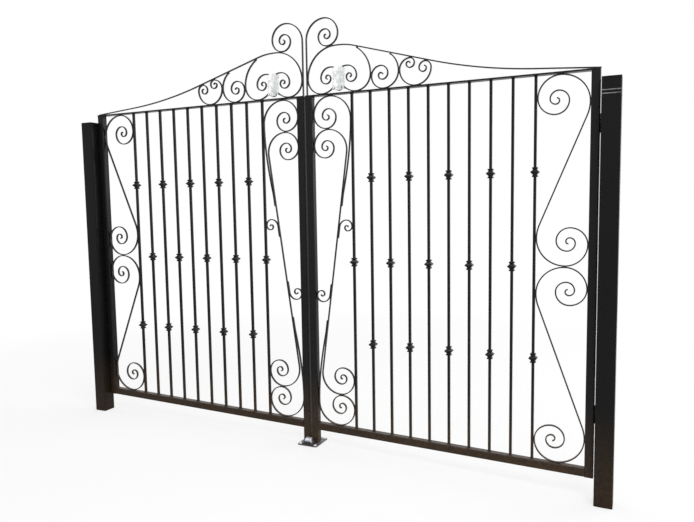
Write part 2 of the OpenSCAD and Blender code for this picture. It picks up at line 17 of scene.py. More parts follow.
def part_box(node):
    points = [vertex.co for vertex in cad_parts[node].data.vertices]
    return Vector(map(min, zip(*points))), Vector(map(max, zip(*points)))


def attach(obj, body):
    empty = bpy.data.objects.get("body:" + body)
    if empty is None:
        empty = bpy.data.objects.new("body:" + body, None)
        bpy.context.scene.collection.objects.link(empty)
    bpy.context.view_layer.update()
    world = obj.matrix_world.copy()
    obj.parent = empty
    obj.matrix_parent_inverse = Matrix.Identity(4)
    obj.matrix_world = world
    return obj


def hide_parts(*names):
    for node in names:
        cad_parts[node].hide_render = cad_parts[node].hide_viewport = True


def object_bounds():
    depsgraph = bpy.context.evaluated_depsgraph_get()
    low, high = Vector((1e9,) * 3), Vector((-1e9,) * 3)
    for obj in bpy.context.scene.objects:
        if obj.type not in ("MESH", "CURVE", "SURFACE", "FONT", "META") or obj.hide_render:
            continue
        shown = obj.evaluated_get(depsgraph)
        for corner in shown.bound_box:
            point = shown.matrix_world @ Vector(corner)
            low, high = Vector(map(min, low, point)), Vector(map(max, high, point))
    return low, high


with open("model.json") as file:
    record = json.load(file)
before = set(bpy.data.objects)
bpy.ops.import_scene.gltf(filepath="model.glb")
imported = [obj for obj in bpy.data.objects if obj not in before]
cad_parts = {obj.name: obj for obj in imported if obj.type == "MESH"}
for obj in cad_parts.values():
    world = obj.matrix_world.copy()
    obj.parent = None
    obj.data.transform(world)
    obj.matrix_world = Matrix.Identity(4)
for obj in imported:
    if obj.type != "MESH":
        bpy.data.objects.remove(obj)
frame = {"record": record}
cad_box = [list(corner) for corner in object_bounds()]
log = logging.getLogger("gate")
Triple = tuple[float, float, float]
Range = tuple[float, ...]
Geometry = BMVert | BMEdge | BMFace
GROUND = "ground_set"
ROOT_2 = math.sqrt(2)


class Side(Enum):
    """The two leaves, as they stand to the right and left of the meeting line."""

    RIGHT = 1
    LEFT = -1

    @property
    def word(self) -> str:
        """First word of the names of this side's nodes."""
        return self.name.lower()

    def node(self, name: str) -> str:
        """Full name of a node on this side."""
        return f"{self.word}_{name}"

    @property
    def body(self) -> str:
        """Name of the body that is this side's leaf."""
        return self.node("leaf")


class Weld(Enum):
    """Where a tack weld sits beside a bent bar, seen along the bar."""

    ON_LEFT = 1
    ON_RIGHT = -1


@dataclass(frozen=True)
class Leaf:
    """Lines and levels of one leaf, in metres.

    u runs outwards from the meeting line, y into the drive from the middle of the bars, and z is the height.
    """

    side: Side
    meeting_x: float
    middle_y: float
    datum: float
    slope: float
    rail_h: float
    stile_w: float
    inner: float
    outer: float
    panel_start: float
    panel_end: float
    first_bar: float
    last_bar: float
    bar_w: float
    bar_count: int
    top_under: float
    top: float

    @classmethod
    def read(cls, side: Side, bar_count: int = 10) -> "Leaf":
        """Reads a leaf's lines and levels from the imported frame.

        Args:
            side: The leaf.
            bar_count: How many square bars it has.

        Returns:
            The leaf's lines and levels.
        """
        def across(node: str) -> list[float]:
            """The u of both sides of a node, the nearest first."""
            return sorted(side.value * (corner.x - meeting_x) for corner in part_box(side.node(node)))

        meeting_x = (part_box("right_top_bar")[0].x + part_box("left_top_bar")[1].x) / 2
        bars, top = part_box(side.node("bars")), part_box(side.node("top_bar"))
        inner, outer = across("top_bar")
        start, end = across("bottom_rail")
        first, last = across("bars")
        bar_w = bars[1].y - bars[0].y
        left_low, left_high = (corner.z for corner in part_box("left_bottom_rail"))
        right_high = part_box("right_bottom_rail")[1].z
        fall = (left_high - right_high) / (end + start)
        return cls(
            side=side, meeting_x=meeting_x, middle_y=(bars[0].y + bars[1].y) / 2,
            datum=left_low - fall * start, slope=-side.value * fall,
            rail_h=left_high - left_low - fall * (end - start), stile_w=start - inner,
            inner=inner, outer=outer, panel_start=start, panel_end=end,
            first_bar=first + bar_w / 2, last_bar=last - bar_w / 2, bar_w=bar_w, bar_count=bar_count,
            top_under=top[0].z, top=top[1].z,
        )

    def box(self, name: str) -> tuple[Vector, Vector]:
        """The room of one of this side's nodes.

        Args:
            name: The node, without its side.

        Returns:
            Its lowest and highest corners, on the leaf's axes.
        """
        low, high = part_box(self.side.node(name))
        u = sorted(self.side.value * (corner.x - self.meeting_x) for corner in (low, high))
        return (Vector((u[0], low.y - self.middle_y, low.z)), Vector((u[1], high.y - self.middle_y, high.z)))

    def rail_under(self, u: float) -> float:
        """Height of the bottom rail's underside at u."""
        return self.datum + self.slope * u

    def rail_over(self, u: float) -> float:
        """Height of the bottom rail's upper side at u."""
        return self.rail_under(u) + self.rail_h

    def bar_lines(self) -> list[float]:
        """The u of the middle of each square bar."""
        pitch = (self.last_bar - self.first_bar) / (self.bar_count - 1)
        return [self.first_bar + i * pitch for i in range(self.bar_count)]

    def upright(self, u: float, width: float, low: float, high: float) -> tuple[Vector, Vector]:
        """Lowest and highest corners of an upright square bar of that width, whose middle is at u."""
        return Vector((u - width / 2, -width / 2, low)), Vector((u + width / 2, width / 2, high))

    def place(self, bm: BMesh) -> None:
        """Moves a mesh that is drawn on the leaf's axes to its place in the frame."""
        bmesh.ops.scale(bm, vec=(self.side.value, 1, 1), verts=bm.verts)
        bmesh.ops.translate(bm, vec=(self.meeting_x, self.middle_y, 0), verts=bm.verts)


class Nodes:
    """Adds shader nodes to a tree."""

    def __init__(self, tree: bpy.types.NodeTree) -> None:
        """Takes the tree."""
        self.tree = tree

    def add(self, kind: str, inputs: dict[str | int, NodeSocket | Range | float] | None = None,
            output: str | int = 0, **settings: str) -> NodeSocket:
        """Adds a node.

        Args:
            kind: Its type, without the words that all types start with.
            inputs: The socket that feeds each input, or its value.
            output: Which output is wanted.
            settings: The node's own properties.

        Returns:
            That output.
        """
        node = self.tree.nodes.new(f"ShaderNode{kind}")
        for name, setting in settings.items():
            setattr(node, name, setting)
        for name, value in (inputs or {}).items():
            if isinstance(value, NodeSocket):
                self.tree.links.new(value, node.inputs[name])
            else:
                node.inputs[name].default_value = value
        return node.outputs[output]


class Shader(Nodes):
    """Builds one node material round a Principled shader."""

    def __init__(self, name: str) -> None:
        """Starts a material.

        Args:
            name: Its name.
        """
        self.material = bpy.data.materials.new(name)
        self.material.use_nodes = True
        super().__init__(self.material.node_tree)
        self.surface = self.tree.nodes["Principled BSDF"]
        self.place = self.add("TexCoord", output="Object")

    def set(self, **values: float | Triple) -> None:
        """Sets sockets of the surface.

        Args:
            values: A value for each socket, named in lower case with underscores.
        """
        for name, value in values.items():
            socket = next(s for s in self.surface.inputs if s.name.lower().replace(" ", "_") == name)
            socket.default_value = (*value, 1.0) if isinstance(value, tuple) else value

    def vary(self, name: str, socket: NodeSocket) -> None:
        """Lets an input of the surface vary."""
        self.tree.links.new(socket, self.surface.inputs[name])

    def noise(self, scale: float, detail: float = 3.0, rough: float = 0.55,
              stretch: Range = (1, 1, 1)) -> NodeSocket:
        """Noise on the object's own place: spots for each metre, octaves, the share each keeps, and the stretch."""
        place = self.add("Mapping", {"Vector": self.place, "Scale": stretch})
        return self.add("TexNoise", {"Vector": place, "Scale": scale, "Detail": detail, "Roughness": rough}, "Fac")

    def fit(self, value: NodeSocket, low: float, high: float, to_low: float = 0.0,
            to_high: float = 1.0) -> NodeSocket:
        """A value mapped from one range to another, clamped."""
        return self.add("MapRange", {"Value": value, "From Min": low, "From Max": high, "To Min": to_low,
                                     "To Max": to_high}, "Result")

    def times(self, first: NodeSocket, second: NodeSocket) -> NodeSocket:
        """The product of two values."""
        return self.add("Math", {0: first, 1: second}, operation="MULTIPLY")

    def height(self) -> NodeSocket:
        """Height of the shaded point in the frame."""
        return self.add("SeparateXYZ", {"Vector": self.place}, "Z")

    def upward(self) -> NodeSocket:
        """How far the surface faces up, from -1 to 1."""
        return self.add("SeparateXYZ", {"Vector": self.add("NewGeometry", output="Normal")}, "Z")

    def blend(self, share: NodeSocket, first: NodeSocket | Triple, second: Triple) -> NodeSocket:
        """Two colours mixed, the first of which may be a socket."""
        start = (*first, 1.0) if isinstance(first, tuple) else first
        return self.add("Mix", {"Factor": share, 6: start, 7: (*second, 1.0)}, 2, data_type="RGBA")

    def bumps(self, *layers: tuple[NodeSocket, float]) -> None:
        """Raises the surface by layers of height.

        Args:
            layers: Pairs of a value and the real height in metres that it stands for.
        """
        below = {}
        for value, rise in layers:
            below = {"Normal": self.add("Bump", {"Distance": rise, "Height": value} | below)}
        self.vary("Normal", below["Normal"])


@dataclass(frozen=True)
class SatinPaint:
    """Black satin paint over steel, with dust on what faces up, and browner and lighter in patches towards the
    bottom.
    """

    name: str
    colour: Triple = (0.0075, 0.0070, 0.0068)
    gloss: float = 0.14
    smoothest: float = 0.22
    roughest: float = 0.36
    peel: float = 0.000015
    hammer: float = 0.0
    splash: float = 0.9
    dust_colour: Triple = (0.150, 0.135, 0.125)
    splash_colour: Triple = (0.060, 0.035, 0.018)
    splash_low: float = 0.08
    splash_top: float = 0.46
    splash_spots: Range = (0.35, 0.65, 0.45, 1.0)
    dust_facing: Range = (0.55, 1.0, 0.0, 0.55)
    dust_spots: Range = (0.35, 0.75)
    patches: Range = (0.3, 0.7)
    patch_scale: float = 9.0
    grime_scale: float = 55.0
    hammer_scale: float = 150.0
    peel_scale: float = 1400.0

    def material(self) -> Material:
        """Builds the material.

        Returns:
            The material.
        """
        paint = Shader(self.name)
        paint.set(specular_ior_level=self.gloss)
        patches = paint.noise(scale=self.patch_scale, detail=4.0)
        grime = paint.noise(scale=self.grime_scale, detail=5.0, rough=0.65)
        # The paint turns browner and lighter towards the bottom, in patches.
        low = paint.fit(paint.height(), self.splash_low, self.splash_top, self.splash, 0.0)
        splash = paint.times(low, paint.fit(grime, *self.splash_spots))
        dust = paint.times(paint.fit(paint.upward(), *self.dust_facing), paint.fit(grime, *self.dust_spots))
        low_tinted = paint.blend(splash, self.colour, self.splash_colour)
        paint.vary("Base Color", paint.blend(dust, low_tinted, self.dust_colour))
        paint.vary("Roughness", paint.fit(patches, *self.patches, self.smoothest, self.roughest))
        layers = [(paint.noise(scale=self.peel_scale, detail=1.0), self.peel)]
        if self.hammer:
            layers.append((paint.noise(scale=self.hammer_scale, detail=2.0, rough=0.4), self.hammer))
        paint.bumps(*layers)
        return paint.material


@dataclass(frozen=True)
class WornSteel:
    """Steel that is bare or thinly painted: grey, streaked, and brown in patches; what faces up can take a lighter
    top colour, dust on the stop plate and a painted highlight on the stop block.
    """

    name: str
    colour: Triple
    patch_colour: Triple
    patches: Range = (0.5, 0.72)
    top_wear_and_highlight_colour: Triple = (0.30, 0.29, 0.28)
    top_range: Range = (0.2, 0.6)
    top_spots: Range = (0.3, 0.45, 0.6, 1.0)
    top_share: float = 0.0
    top_metal: float = 0.0
    metal: float = 0.6
    smoothest: float = 0.25
    roughest: float = 0.5
    streaks: Range = (0.3, 0.7)
    broad_scale: float = 30.0
    streak_scale: float = 60.0
    grain_scale: float = 700.0
    grain: float = 0.00006
    dents: float = 0.0004

    def material(self) -> Material:
        """Builds the material.

        Returns:
            The material.
        """
        steel = Shader(self.name)
        broad = steel.noise(scale=self.broad_scale, detail=5.0, rough=0.6)
        streaks = steel.noise(scale=self.streak_scale, detail=3.0, stretch=(1.0, 1.0, 0.15))
        # Upward faces get the top colour: real dust on the stop plate, and on the stop block a painted highlight for
        # the sky's reflection.
        worn_and_lit_top = steel.times(steel.fit(steel.upward(), *self.top_range, 0.0, self.top_share),
                           steel.fit(broad, *self.top_spots))
        painted = steel.blend(steel.fit(broad, *self.patches), self.colour, self.patch_colour)
        steel.vary("Metallic", steel.fit(worn_and_lit_top, 0.0, 1.0, self.metal, self.top_metal))
        steel.vary("Base Color", steel.blend(worn_and_lit_top, painted, self.top_wear_and_highlight_colour))
        steel.vary("Roughness", steel.fit(streaks, *self.streaks, self.smoothest, self.roughest))
        steel.bumps((steel.noise(scale=self.grain_scale, detail=2.0), self.grain), (broad, self.dents))
        return steel.material


@dataclass(frozen=True)
class WhiteCloth:
    """Soft white cloth with a plain weave, with painted shade: grey in its creases and towards its right side."""

    name: str
    colour: Triple = (0.955, 0.97, 0.965)
    painted_shade_colour: Triple = (0.54, 0.565, 0.55)
    painted_shade_range: Range = (0.0, 1.1)
    shade_mottle: Range = (0.3, 0.6, 0.7, 1.0)
    mottle_scale: float = 40.0
    threads: float = 900.0
    thread_run: float = 0.12
    thread_h: float = 0.00002
    rumple: float = 0.0004

    def material(self) -> Material:
        """Builds the material.

        Returns:
            The material.
        """
        cloth = Shader(self.name)
        cloth.set(roughness=0.9, sheen_weight=0.15, sheen_roughness=0.5, specular_ior_level=0.2)
        # Painted shade: a vertex layer greys the creases and the right side of each bundle, mottled by noise.
        painted_shade = cloth.add("Attribute", output="Fac", attribute_name=CrownWrap.painted_shade)
        mottle = cloth.noise(scale=self.mottle_scale, detail=2.0, rough=0.5)
        share = cloth.times(cloth.fit(painted_shade, *self.painted_shade_range), cloth.fit(mottle, *self.shade_mottle))
        cloth.vary("Base Color", cloth.blend(share, self.colour, self.painted_shade_colour))
        along = self.thread_run
        warp = cloth.noise(scale=self.threads, detail=0.0, stretch=(1.0, 1.0, along))
        weft = cloth.noise(scale=self.threads, detail=0.0, stretch=(along, along, 1.0))
        cloth.bumps((warp, self.thread_h), (weft, self.thread_h), (mottle, self.rumple))
        return cloth.material


class Palette:
    """Makes the material of each slot once, and hands it out."""

    finishes: tuple[SatinPaint | WornSteel | WhiteCloth, ...] = (
        SatinPaint("frame_paint"),
        SatinPaint("scroll_paint", (0.006, 0.0058, 0.0060), gloss=0.3, hammer=0.00012, smoothest=0.16,
                   roughest=0.3),
        SatinPaint("casting_paint", hammer=0.0003, peel=0.00003, smoothest=0.2, roughest=0.38),
        # The posts' paint is darker than the frame's: painted shade, for the shade that the piers cast on the posts.
        SatinPaint("post_paint", (0.0052, 0.0050, 0.0049), gloss=0.10, smoothest=0.28, roughest=0.42, splash=0.5),
        SatinPaint("hinge_paint", smoothest=0.3, roughest=0.5, hammer=0.0001),
        WornSteel("strap_steel", (0.20, 0.195, 0.20), (0.09, 0.085, 0.08), patches=(0.4, 0.62), metal=0.5),
        WornSteel("stop_steel", (0.030, 0.028, 0.028), (0.05, 0.038, 0.03), top_wear_and_highlight_colour=(0.13, 0.12, 0.115),
                  top_range=(0.93, 1.0), top_share=0.75, metal=0.2),
        WornSteel("dark_steel", (0.022, 0.021, 0.023), (0.035, 0.030, 0.028), metal=0.2),
        # The stop block's upward faces get a light bluish top colour: a painted highlight, standing for the sky's
        # reflection.
        WornSteel("block_steel", (0.030, 0.030, 0.034), (0.05, 0.045, 0.045), top_wear_and_highlight_colour=(0.74, 0.75, 0.82),
                  top_range=(0.3, 0.7), top_share=1.0, metal=0.3, top_metal=0.6, roughest=0.4),
        WornSteel("bright_steel", (0.62, 0.61, 0.59), (0.45, 0.42, 0.38), top_wear_and_highlight_colour=(0.85, 0.84, 0.82),
                  top_share=1.0, metal=0.8, top_metal=0.5),
        WhiteCloth("wrap_cloth"),
    )

    def __init__(self) -> None:
        """Builds every finish."""
        self.materials = {finish.name: finish.material() for finish in self.finishes}
        self.record_slots = {material["slot"] for material in frame["record"]["materials"]}

    def __getitem__(self, slot: str) -> Material:
        """The material of a slot."""
        return self.materials[slot]


class Piece:
    """One piece of the gate while it is made, as a mesh that becomes an object on a body."""

    merge_gap = 0.00002

    def __init__(self, name: str) -> None:
        """Starts an empty piece with that name."""
        self.name = name
        self.bm = bmesh.new()

    def finish(self, palette: Palette, slot: str, body: str, nodes: Sequence[str] = (),
               leaf: Leaf | None = None, crease: float = 50.0) -> Object:
        """Closes the mesh, gives it its material and puts it on its body.

        Args:
            palette: The finishes.
            slot: The slot that the piece takes its finish from.
            body: The body that it rides on.
            nodes: The nodes that it stands for.
            leaf: The leaf on whose axes it is drawn, if it is.
            crease: Angle in degrees past which an edge stays sharp.

        Returns:
            The finished object.
        """
        if leaf is not None:
            leaf.place(self.bm)
        bmesh.ops.remove_doubles(self.bm, verts=self.bm.verts, dist=self.merge_gap)
        bmesh.ops.recalc_face_normals(self.bm, faces=self.bm.faces)
        mesh = bpy.data.meshes.new(self.name)
        self.bm.to_mesh(mesh)
        self.bm.free()
        mesh.shade_smooth()
        mesh.set_sharp_from_angle(angle=math.radians(crease))
        piece = bpy.data.objects.new(self.name, mesh)
        bpy.context.scene.collection.objects.link(piece)
        even = piece.modifiers.new("even_shading", "WEIGHTED_NORMAL")
        even.keep_sharp = True
        mesh.materials.append(palette[slot])
        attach(piece, body)
        if nodes:
            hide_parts(*nodes)
        log.info("%s: %d faces, for %s", self.name, len(mesh.polygons), ", ".join(nodes) or "no node")
        return piece


def verts_of(geometry: Sequence[Geometry]) -> list[BMVert]:
    """The vertices among what an operator made."""
    return [x for x in geometry if isinstance(x, BMVert)]


def draw_out(bm: BMesh, edges: Sequence[BMEdge]) -> tuple[list, list]:
    """Extrudes edges where they are, and gives the new vertices and the new free edges."""
    grown = bmesh.ops.extrude_edge_only(bm, edges=edges)["geom"]
    return verts_of(grown), [x for x in grown if isinstance(x, BMEdge) and x.is_boundary]


def edges_at(verts: Sequence[BMVert], length: float, upright: bool) -> list[BMEdge]:
    """The edges of a form of that height that are upright, or all its others."""
    edges = {e for v in verts for e in v.link_edges}
    return [e for e in edges if (abs(e.verts[0].co.z - e.verts[1].co.z) > length / 2) == upright]


def soften(bm: BMesh, geometry: Sequence[Geometry], radius: float, steps: int = 2,
           corners: bool = False) -> list[BMVert]:
    """Rounds edges of a mesh, or corners of a flat section, in steps, and gives the vertices made."""
    return bmesh.ops.bevel(bm, geom=geometry, offset=radius, offset_type="OFFSET", segments=steps, profile=0.5,
                           affect="VERTICES" if corners else "EDGES", material=-1)["verts"]


def section(bm: BMesh, width: float, height: float, corner: float = 0.0, steps: int = 2) -> list[BMVert]:
    """Adds a flat four-sided section in the plane of x and y.

    Args:
        bm: The mesh that it is added to.
        width: Its length along x.
        height: Its length along y.
        corner: Radius of its corners.
        steps: Edges round each corner.

    Returns:
        Its vertices.
    """
    verts = bmesh.ops.create_grid(bm, x_segments=1, y_segments=1, size=0.5)["verts"]
    bmesh.ops.scale(bm, vec=(width, height, 1), verts=verts)
    return soften(bm, verts, corner, steps, corners=True) if corner else verts


def rounded(bm: BMesh, low: Vector, high: Vector, upright: float = 0.0, edge: float = 0.0,
            steps: int = 3) -> list[BMVert]:
    """Adds a block with rounded edges.

    Args:
        bm: The mesh that it is added to.
        low: Its lowest corner.
        high: Its highest corner.
        upright: Radius of its four upright edges.
        edge: Radius of its other edges.
        steps: Faces round each upright edge.

    Returns:
        The block's vertices.
    """
    seen = set(bm.verts)
    size = high - low
    block = bmesh.ops.create_cube(bm, size=1.0)["verts"]
    bmesh.ops.scale(bm, vec=size, verts=block)
    bmesh.ops.translate(bm, vec=(low + high) / 2, verts=block)
    if upright:
        soften(bm, edges_at(block, size.z, upright=True), upright, steps)
    if edge:
        made = [v for v in bm.verts if v not in seen]
        soften(bm, edges_at(made, size.z, upright=False), edge)
    return [v for v in bm.verts if v not in seen]


def round_bar(bm: BMesh, radius: float, foot: Vector, length: float,
              edge: float = 0.0, facets: int = 40) -> list[BMVert]:
    """Adds an upright round bar with softened ends.

    Args:
        bm: The mesh that it is added to.
        radius: Its radius.
        foot: The middle of its lower end.
        length: Its length.
        edge: Radius of its rims.
        facets: Faces round it.

    Returns:
        Its vertices, where its rims aren't softened.
    """
    made = bmesh.ops.create_cone(bm, cap_ends=True, segments=facets, radius1=radius, radius2=radius,
                                 depth=length, matrix=Matrix.Translation(foot + Vector((0, 0, length / 2))))["verts"]
    if edge:
        soften(bm, edges_at(made, length, upright=False), edge)
    return made


def pipe(bm: BMesh, bore: float, radius: float, foot: Vector, length: float,
         edge: float, facets: int = 48) -> None:
    """Adds an upright pipe with softened outer rims, by spinning the section of its wall.

    Args:
        bm: The mesh that it is added to.
        bore: Radius of its bore.
        radius: Its outer radius.
        foot: The middle of its lower end.
        length: Its length.
        edge: Radius of its outer rims.
        facets: Faces round it.
    """
    own = bmesh.new()
    wall = section(own, radius - bore, length)
    bmesh.ops.rotate(own, verts=wall, matrix=Matrix.Rotation(math.pi / 2, 3, "X"))
    bmesh.ops.translate(own, vec=((radius + bore) / 2, 0, length / 2), verts=wall)
    soften(own, [v for v in wall if v.co.x > (radius + bore) / 2], edge, corners=True)
    bmesh.ops.delete(own, geom=list(own.faces), context="FACES_ONLY")
    bmesh.ops.spin(own, geom=own.verts[:] + own.edges[:], cent=(0, 0, 0), axis=(0, 0, 1), angle=2 * math.pi,
                   steps=facets, use_merge=True)
    bmesh.ops.translate(own, vec=foot, verts=own.verts)
    bmesh.ops.recalc_face_normals(own, faces=own.faces)
    add(bm, own)


def add(bm: BMesh, part: BMesh) -> None:
    """Adds one mesh to another and frees it.

    Args:
        bm: The mesh that grows.
        part: The mesh that is added.
    """
    carrier = bpy.data.meshes.new("carrier")
    part.to_mesh(carrier)
    part.free()
    bm.from_mesh(carrier)
    bpy.data.meshes.remove(carrier)


def turn_over(bm: BMesh, centre: Vector, verts: Sequence[BMVert]) -> None:
    """Turns some of a mesh half round a point, given as (u, z)."""
    bmesh.ops.rotate(bm, cent=(centre.x, 0, centre.y), matrix=Matrix.Rotation(math.pi, 3, "Y"), verts=verts)


def add_turned(bm: BMesh, centre: Vector) -> None:
    """Adds a copy of all of a mesh, turned half round a point, given as (u, z)."""
    copied = bmesh.ops.duplicate(bm, geom=bm.verts[:] + bm.edges[:] + bm.faces[:])["geom"]
    turn_over(bm, centre, verts_of(copied))


@dataclass(frozen=True)
class WeldRun:
    """A run of weld along an upright edge of a hinge plate, rippled as it was laid."""

    radius: float = 0.0024
    ripple: float = 0.0045
    swell: float = 0.14
    roughness: float = 300.0

    def lay(self, bm: BMesh, foot: Vector, length: float) -> None:
        """Lays the run up from its foot.

        Args:
            bm: The mesh that it is added to.
            foot: Its lower end.
            length: Its length.
        """
        made = round_bar(bm, self.radius, foot, length, facets=10)
        cut = bmesh.ops.subdivide_edges(bm, edges=edges_at(made, length, upright=True),
                                        cuts=3 * round(length / self.ripple))
        for v in set(verts_of(cut["geom_inner"])):
            wave = math.sin(2 * math.pi * v.co.z / self.ripple) + noise.noise(v.co * self.roughness)
            v.co += (v.co - Vector((foot.x, foot.y, v.co.z))) * self.swell * wave


@dataclass(frozen=True)
class Straight:
    """A straight length of bar."""

    length: float


@dataclass(frozen=True)
class Turn:
    """A bend of bar. A positive angle, in degrees, turns to the left."""

    radius: float
    angle: float


@dataclass(frozen=True)
class Ease:
    """A soft bend to a point and a heading, in degrees. The bar may leave at a heading of its own."""

    end: Vector
    heading: float
    leaving: float
    pieces: int = 24


Step = Straight | Turn | Ease


def heading_vector(heading: float) -> Vector:
    """Direction in the leaf's plane, as (u, z)."""
    return Vector((math.cos(math.radians(heading)), math.sin(math.radians(heading))))


def curl(radius: float, shares: Sequence[float], turn: float = 90.0) -> list[Step]:
    """Turns of one angle, whose radii are shares of a radius."""
    return [Turn(radius * share, turn) for share in shares]


@dataclass(frozen=True)
class FlatBar:
    """The flat bar that the scrolls are bent from, and how a scroll of it tightens."""

    thickness: float = 0.006
    width: float = 0.012
    corner: float = 0.0011
    arc_step: float = 6.0
    longest_chord: float = 0.03
    end_round: float = 0.0009
    merge_gap: float = 0.00001
    tighten: float = 0.78
    eye: float = 0.86
    eye_turns: int = 3

    def first_radius(self, width: float) -> float:
        """Radius of the first quarter turn of a scroll of that width."""
        return (width - self.thickness) / (1 + self.tighten)

    def lead(self, radius: float) -> float:
        """Radius of the bend that leads from a straight bar into a scroll."""
        return radius / self.tighten

    def volute(self, radius: float, side: int, quarters: int) -> list[Step]:
        """Quarter turns to the left (1) or right (-1) that tighten step by step, those of the eye faster."""
        shares = [self.tighten ** k * self.eye ** max(0, k - quarters + self.eye_turns + 1) for k in range(quarters)]
        return curl(radius, shares, 90.0 * side)


@dataclass(frozen=True)
class HalfS:
    """Half an S bar: a straight from its middle, a bend, and a scroll that meets a line and a level."""

    bar: FlatBar
    centre: Vector
    side_u: float
    top_z: float
    radius: float

    @property
    def bend_r(self) -> float:
        """Radius of the bend."""
        return self.bar.lead(self.radius)

    @property
    def reach(self) -> Vector:
        """From the bar's middle to the centre of its bend."""
        return Vector((self.side_u - self.bend_r, self.top_z - self.radius)) - self.centre

    @property
    def heading(self) -> float:
        """Heading in degrees at which the bar leaves its middle."""
        ahead = math.atan2(self.reach.y, self.reach.x)
        return math.degrees(ahead - math.asin(self.bend_r / self.reach.length))

    def steps(self, quarters: int) -> list[Step]:
        """Steps from the middle into a scroll of so many quarter turns."""
        ahead = math.sqrt(self.reach.length_squared - self.bend_r ** 2)
        return [Straight(ahead), Turn(self.bend_r, 90 - self.heading)] + self.bar.volute(self.radius, 1, quarters)


class Bender:
    """Bends a flat bar from a start, step by step, by extruding and spinning its free end."""

    def __init__(self, bm: BMesh, bar: FlatBar, start: Vector, heading: float) -> None:
        """Sets the bar's section down at the start.

        Args:
            bm: The mesh that the bar is added to.
            bar: The bar's section.
            start: Where its middle line starts, as (u, z).
            heading: Where it heads, in degrees.
        """
        self.bm = bm
        self.bar = bar
        self.point = start.copy()
        self.heading = heading
        self.stations = [(start.copy(), heading)]
        verts = section(bm, bar.thickness, bar.width, bar.corner)
        along = heading_vector(heading)
        upright = Matrix(((-along.y, 0, along.x), (0, -1, 0), (along.x, 0, along.y))).to_4x4()
        bmesh.ops.transform(bm, matrix=Matrix.Translation((start.x, 0, start.y)) @ upright, verts=verts)
        self.cap = verts[0].link_faces[0]
        self.end = list(self.cap.edges)

    def bend(self, steps: Sequence[Step]) -> "Bender":
        """Bends the bar through several steps.

        Args:
            steps: The steps.

        Returns:
            The bender itself.
        """
        for step in steps:
            if isinstance(step, Straight):
                self._go_on(step.length, 0.0)
            elif isinstance(step, Turn):
                self._turn(step)
            else:
                self._ease(step)
            self.stations.append((self.point.copy(), self.heading))
        return self

    def _go_on(self, length: float, turn: float) -> None:
        """Draws the end on, half way through a turn.

        Args:
            length: How far.
            turn: The turn in degrees.
        """
        along = heading_vector(self.heading + turn / 2) * length
        verts, self.end = draw_out(self.bm, self.end)
        bmesh.ops.translate(self.bm, vec=(along.x, 0, along.y), verts=verts)
        self.point += along
        if turn:
            bmesh.ops.rotate(self.bm, cent=(self.point.x, 0, self.point.y), verts=verts,
                             matrix=Matrix.Rotation(math.radians(turn), 3, Vector((0, -1, 0))))
            self.heading += turn

    def _turn(self, step: Turn) -> None:
        """Spins the end round the centre of a bend.

        Args:
            step: The bend.
        """
        side = math.copysign(1, step.angle)
        centre = self.point + step.radius * heading_vector(self.heading + 90 * side)
        verts = list({v for e in self.end for v in e.verts})
        arc = step.radius * math.radians(abs(step.angle))
        steps = max(2, math.ceil(abs(step.angle) / self.bar.arc_step), math.ceil(arc / self.bar.longest_chord))
        spun = bmesh.ops.spin(self.bm, geom=self.end + verts, cent=(centre.x, 0, centre.y), axis=(0, -1, 0),
                              angle=math.radians(step.angle), steps=steps)["geom_last"]
        self.end = [x for x in spun if isinstance(x, BMEdge)]
        self.heading += step.angle
        self.point = centre + step.radius * heading_vector(self.heading - 90 * side)

    def _ease(self, step: Ease) -> None:
        """Draws the end along a soft curve, piece by piece.

        Args:
            step: Where the curve leads.
        """
        start = self.point.copy()
        reach = (step.end - start).length / 3
        first = start + reach * heading_vector(step.leaving)
        last = step.end - reach * heading_vector(step.heading)
        for i in range(1, step.pieces + 1):
            t = i / step.pieces
            s = 1 - t
            target = s ** 3 * start + 3 * s * s * t * first + 3 * s * t * t * last + t ** 3 * step.end
            hop = target - self.point
            slope = s * s * (first - start) + 2 * s * t * (last - first) + t * t * (step.end - last)
            heading = math.degrees(math.atan2(slope.y, slope.x))
            self.heading = math.degrees(math.atan2(hop.y, hop.x)) - (heading - self.heading) / 2
            self._go_on(hop.length, heading - self.heading)

    def close(self) -> "Bender":
        """Closes the free end with a softened face.

        Returns:
            The bender itself.
        """
        face = bmesh.ops.edgeloop_fill(self.bm, edges=self.end)["faces"]
        bmesh.ops.recalc_face_normals(self.bm, faces=self.bm.faces[:])
        self.soften_end(face)
        return self

    def soften_end(self, face: Sequence[BMFace]) -> None:
        """Rounds the face that ends the bar a little."""
        bmesh.ops.inset_region(self.bm, faces=face, thickness=self.bar.end_round, depth=self.bar.end_round)


def bent_bar(bm: BMesh, bar: FlatBar, start: Vector, heading: float, ahead: Sequence[Step],
             behind: Sequence[Step] = ()) -> tuple[Bender, Bender | None]:
    """Adds a bar that is bent from a start, both ways if steps behind it are given.

    Args:
        bm: The mesh that it is added to.
        bar: The bar's section.
        start: Where the bends start, as (u, z).
        heading: The heading there, in degrees.
        ahead: The steps ahead.
        behind: The steps the other way, which start with the heading turned half round.

    Returns:
        The bender of each way, whose stations tell where the steps ended.
    """
    own = bmesh.new()
    front = Bender(own, bar, start, heading).bend(ahead).close()
    back = None
    if behind:
        bmesh.ops.delete(own, geom=[front.cap], context="FACES_ONLY")
        back = Bender(own, bar, start, heading + 180).bend(behind).close()
        bmesh.ops.delete(own, geom=[back.cap], context="FACES_ONLY")
    else:
        bmesh.ops.recalc_face_normals(own, faces=own.faces)
        front.soften_end([front.cap])
    bmesh.ops.remove_doubles(own, verts=own.verts, dist=bar.merge_gap)
    bmesh.ops.recalc_face_normals(own, faces=own.faces)
    add(bm, own)
    return front, back


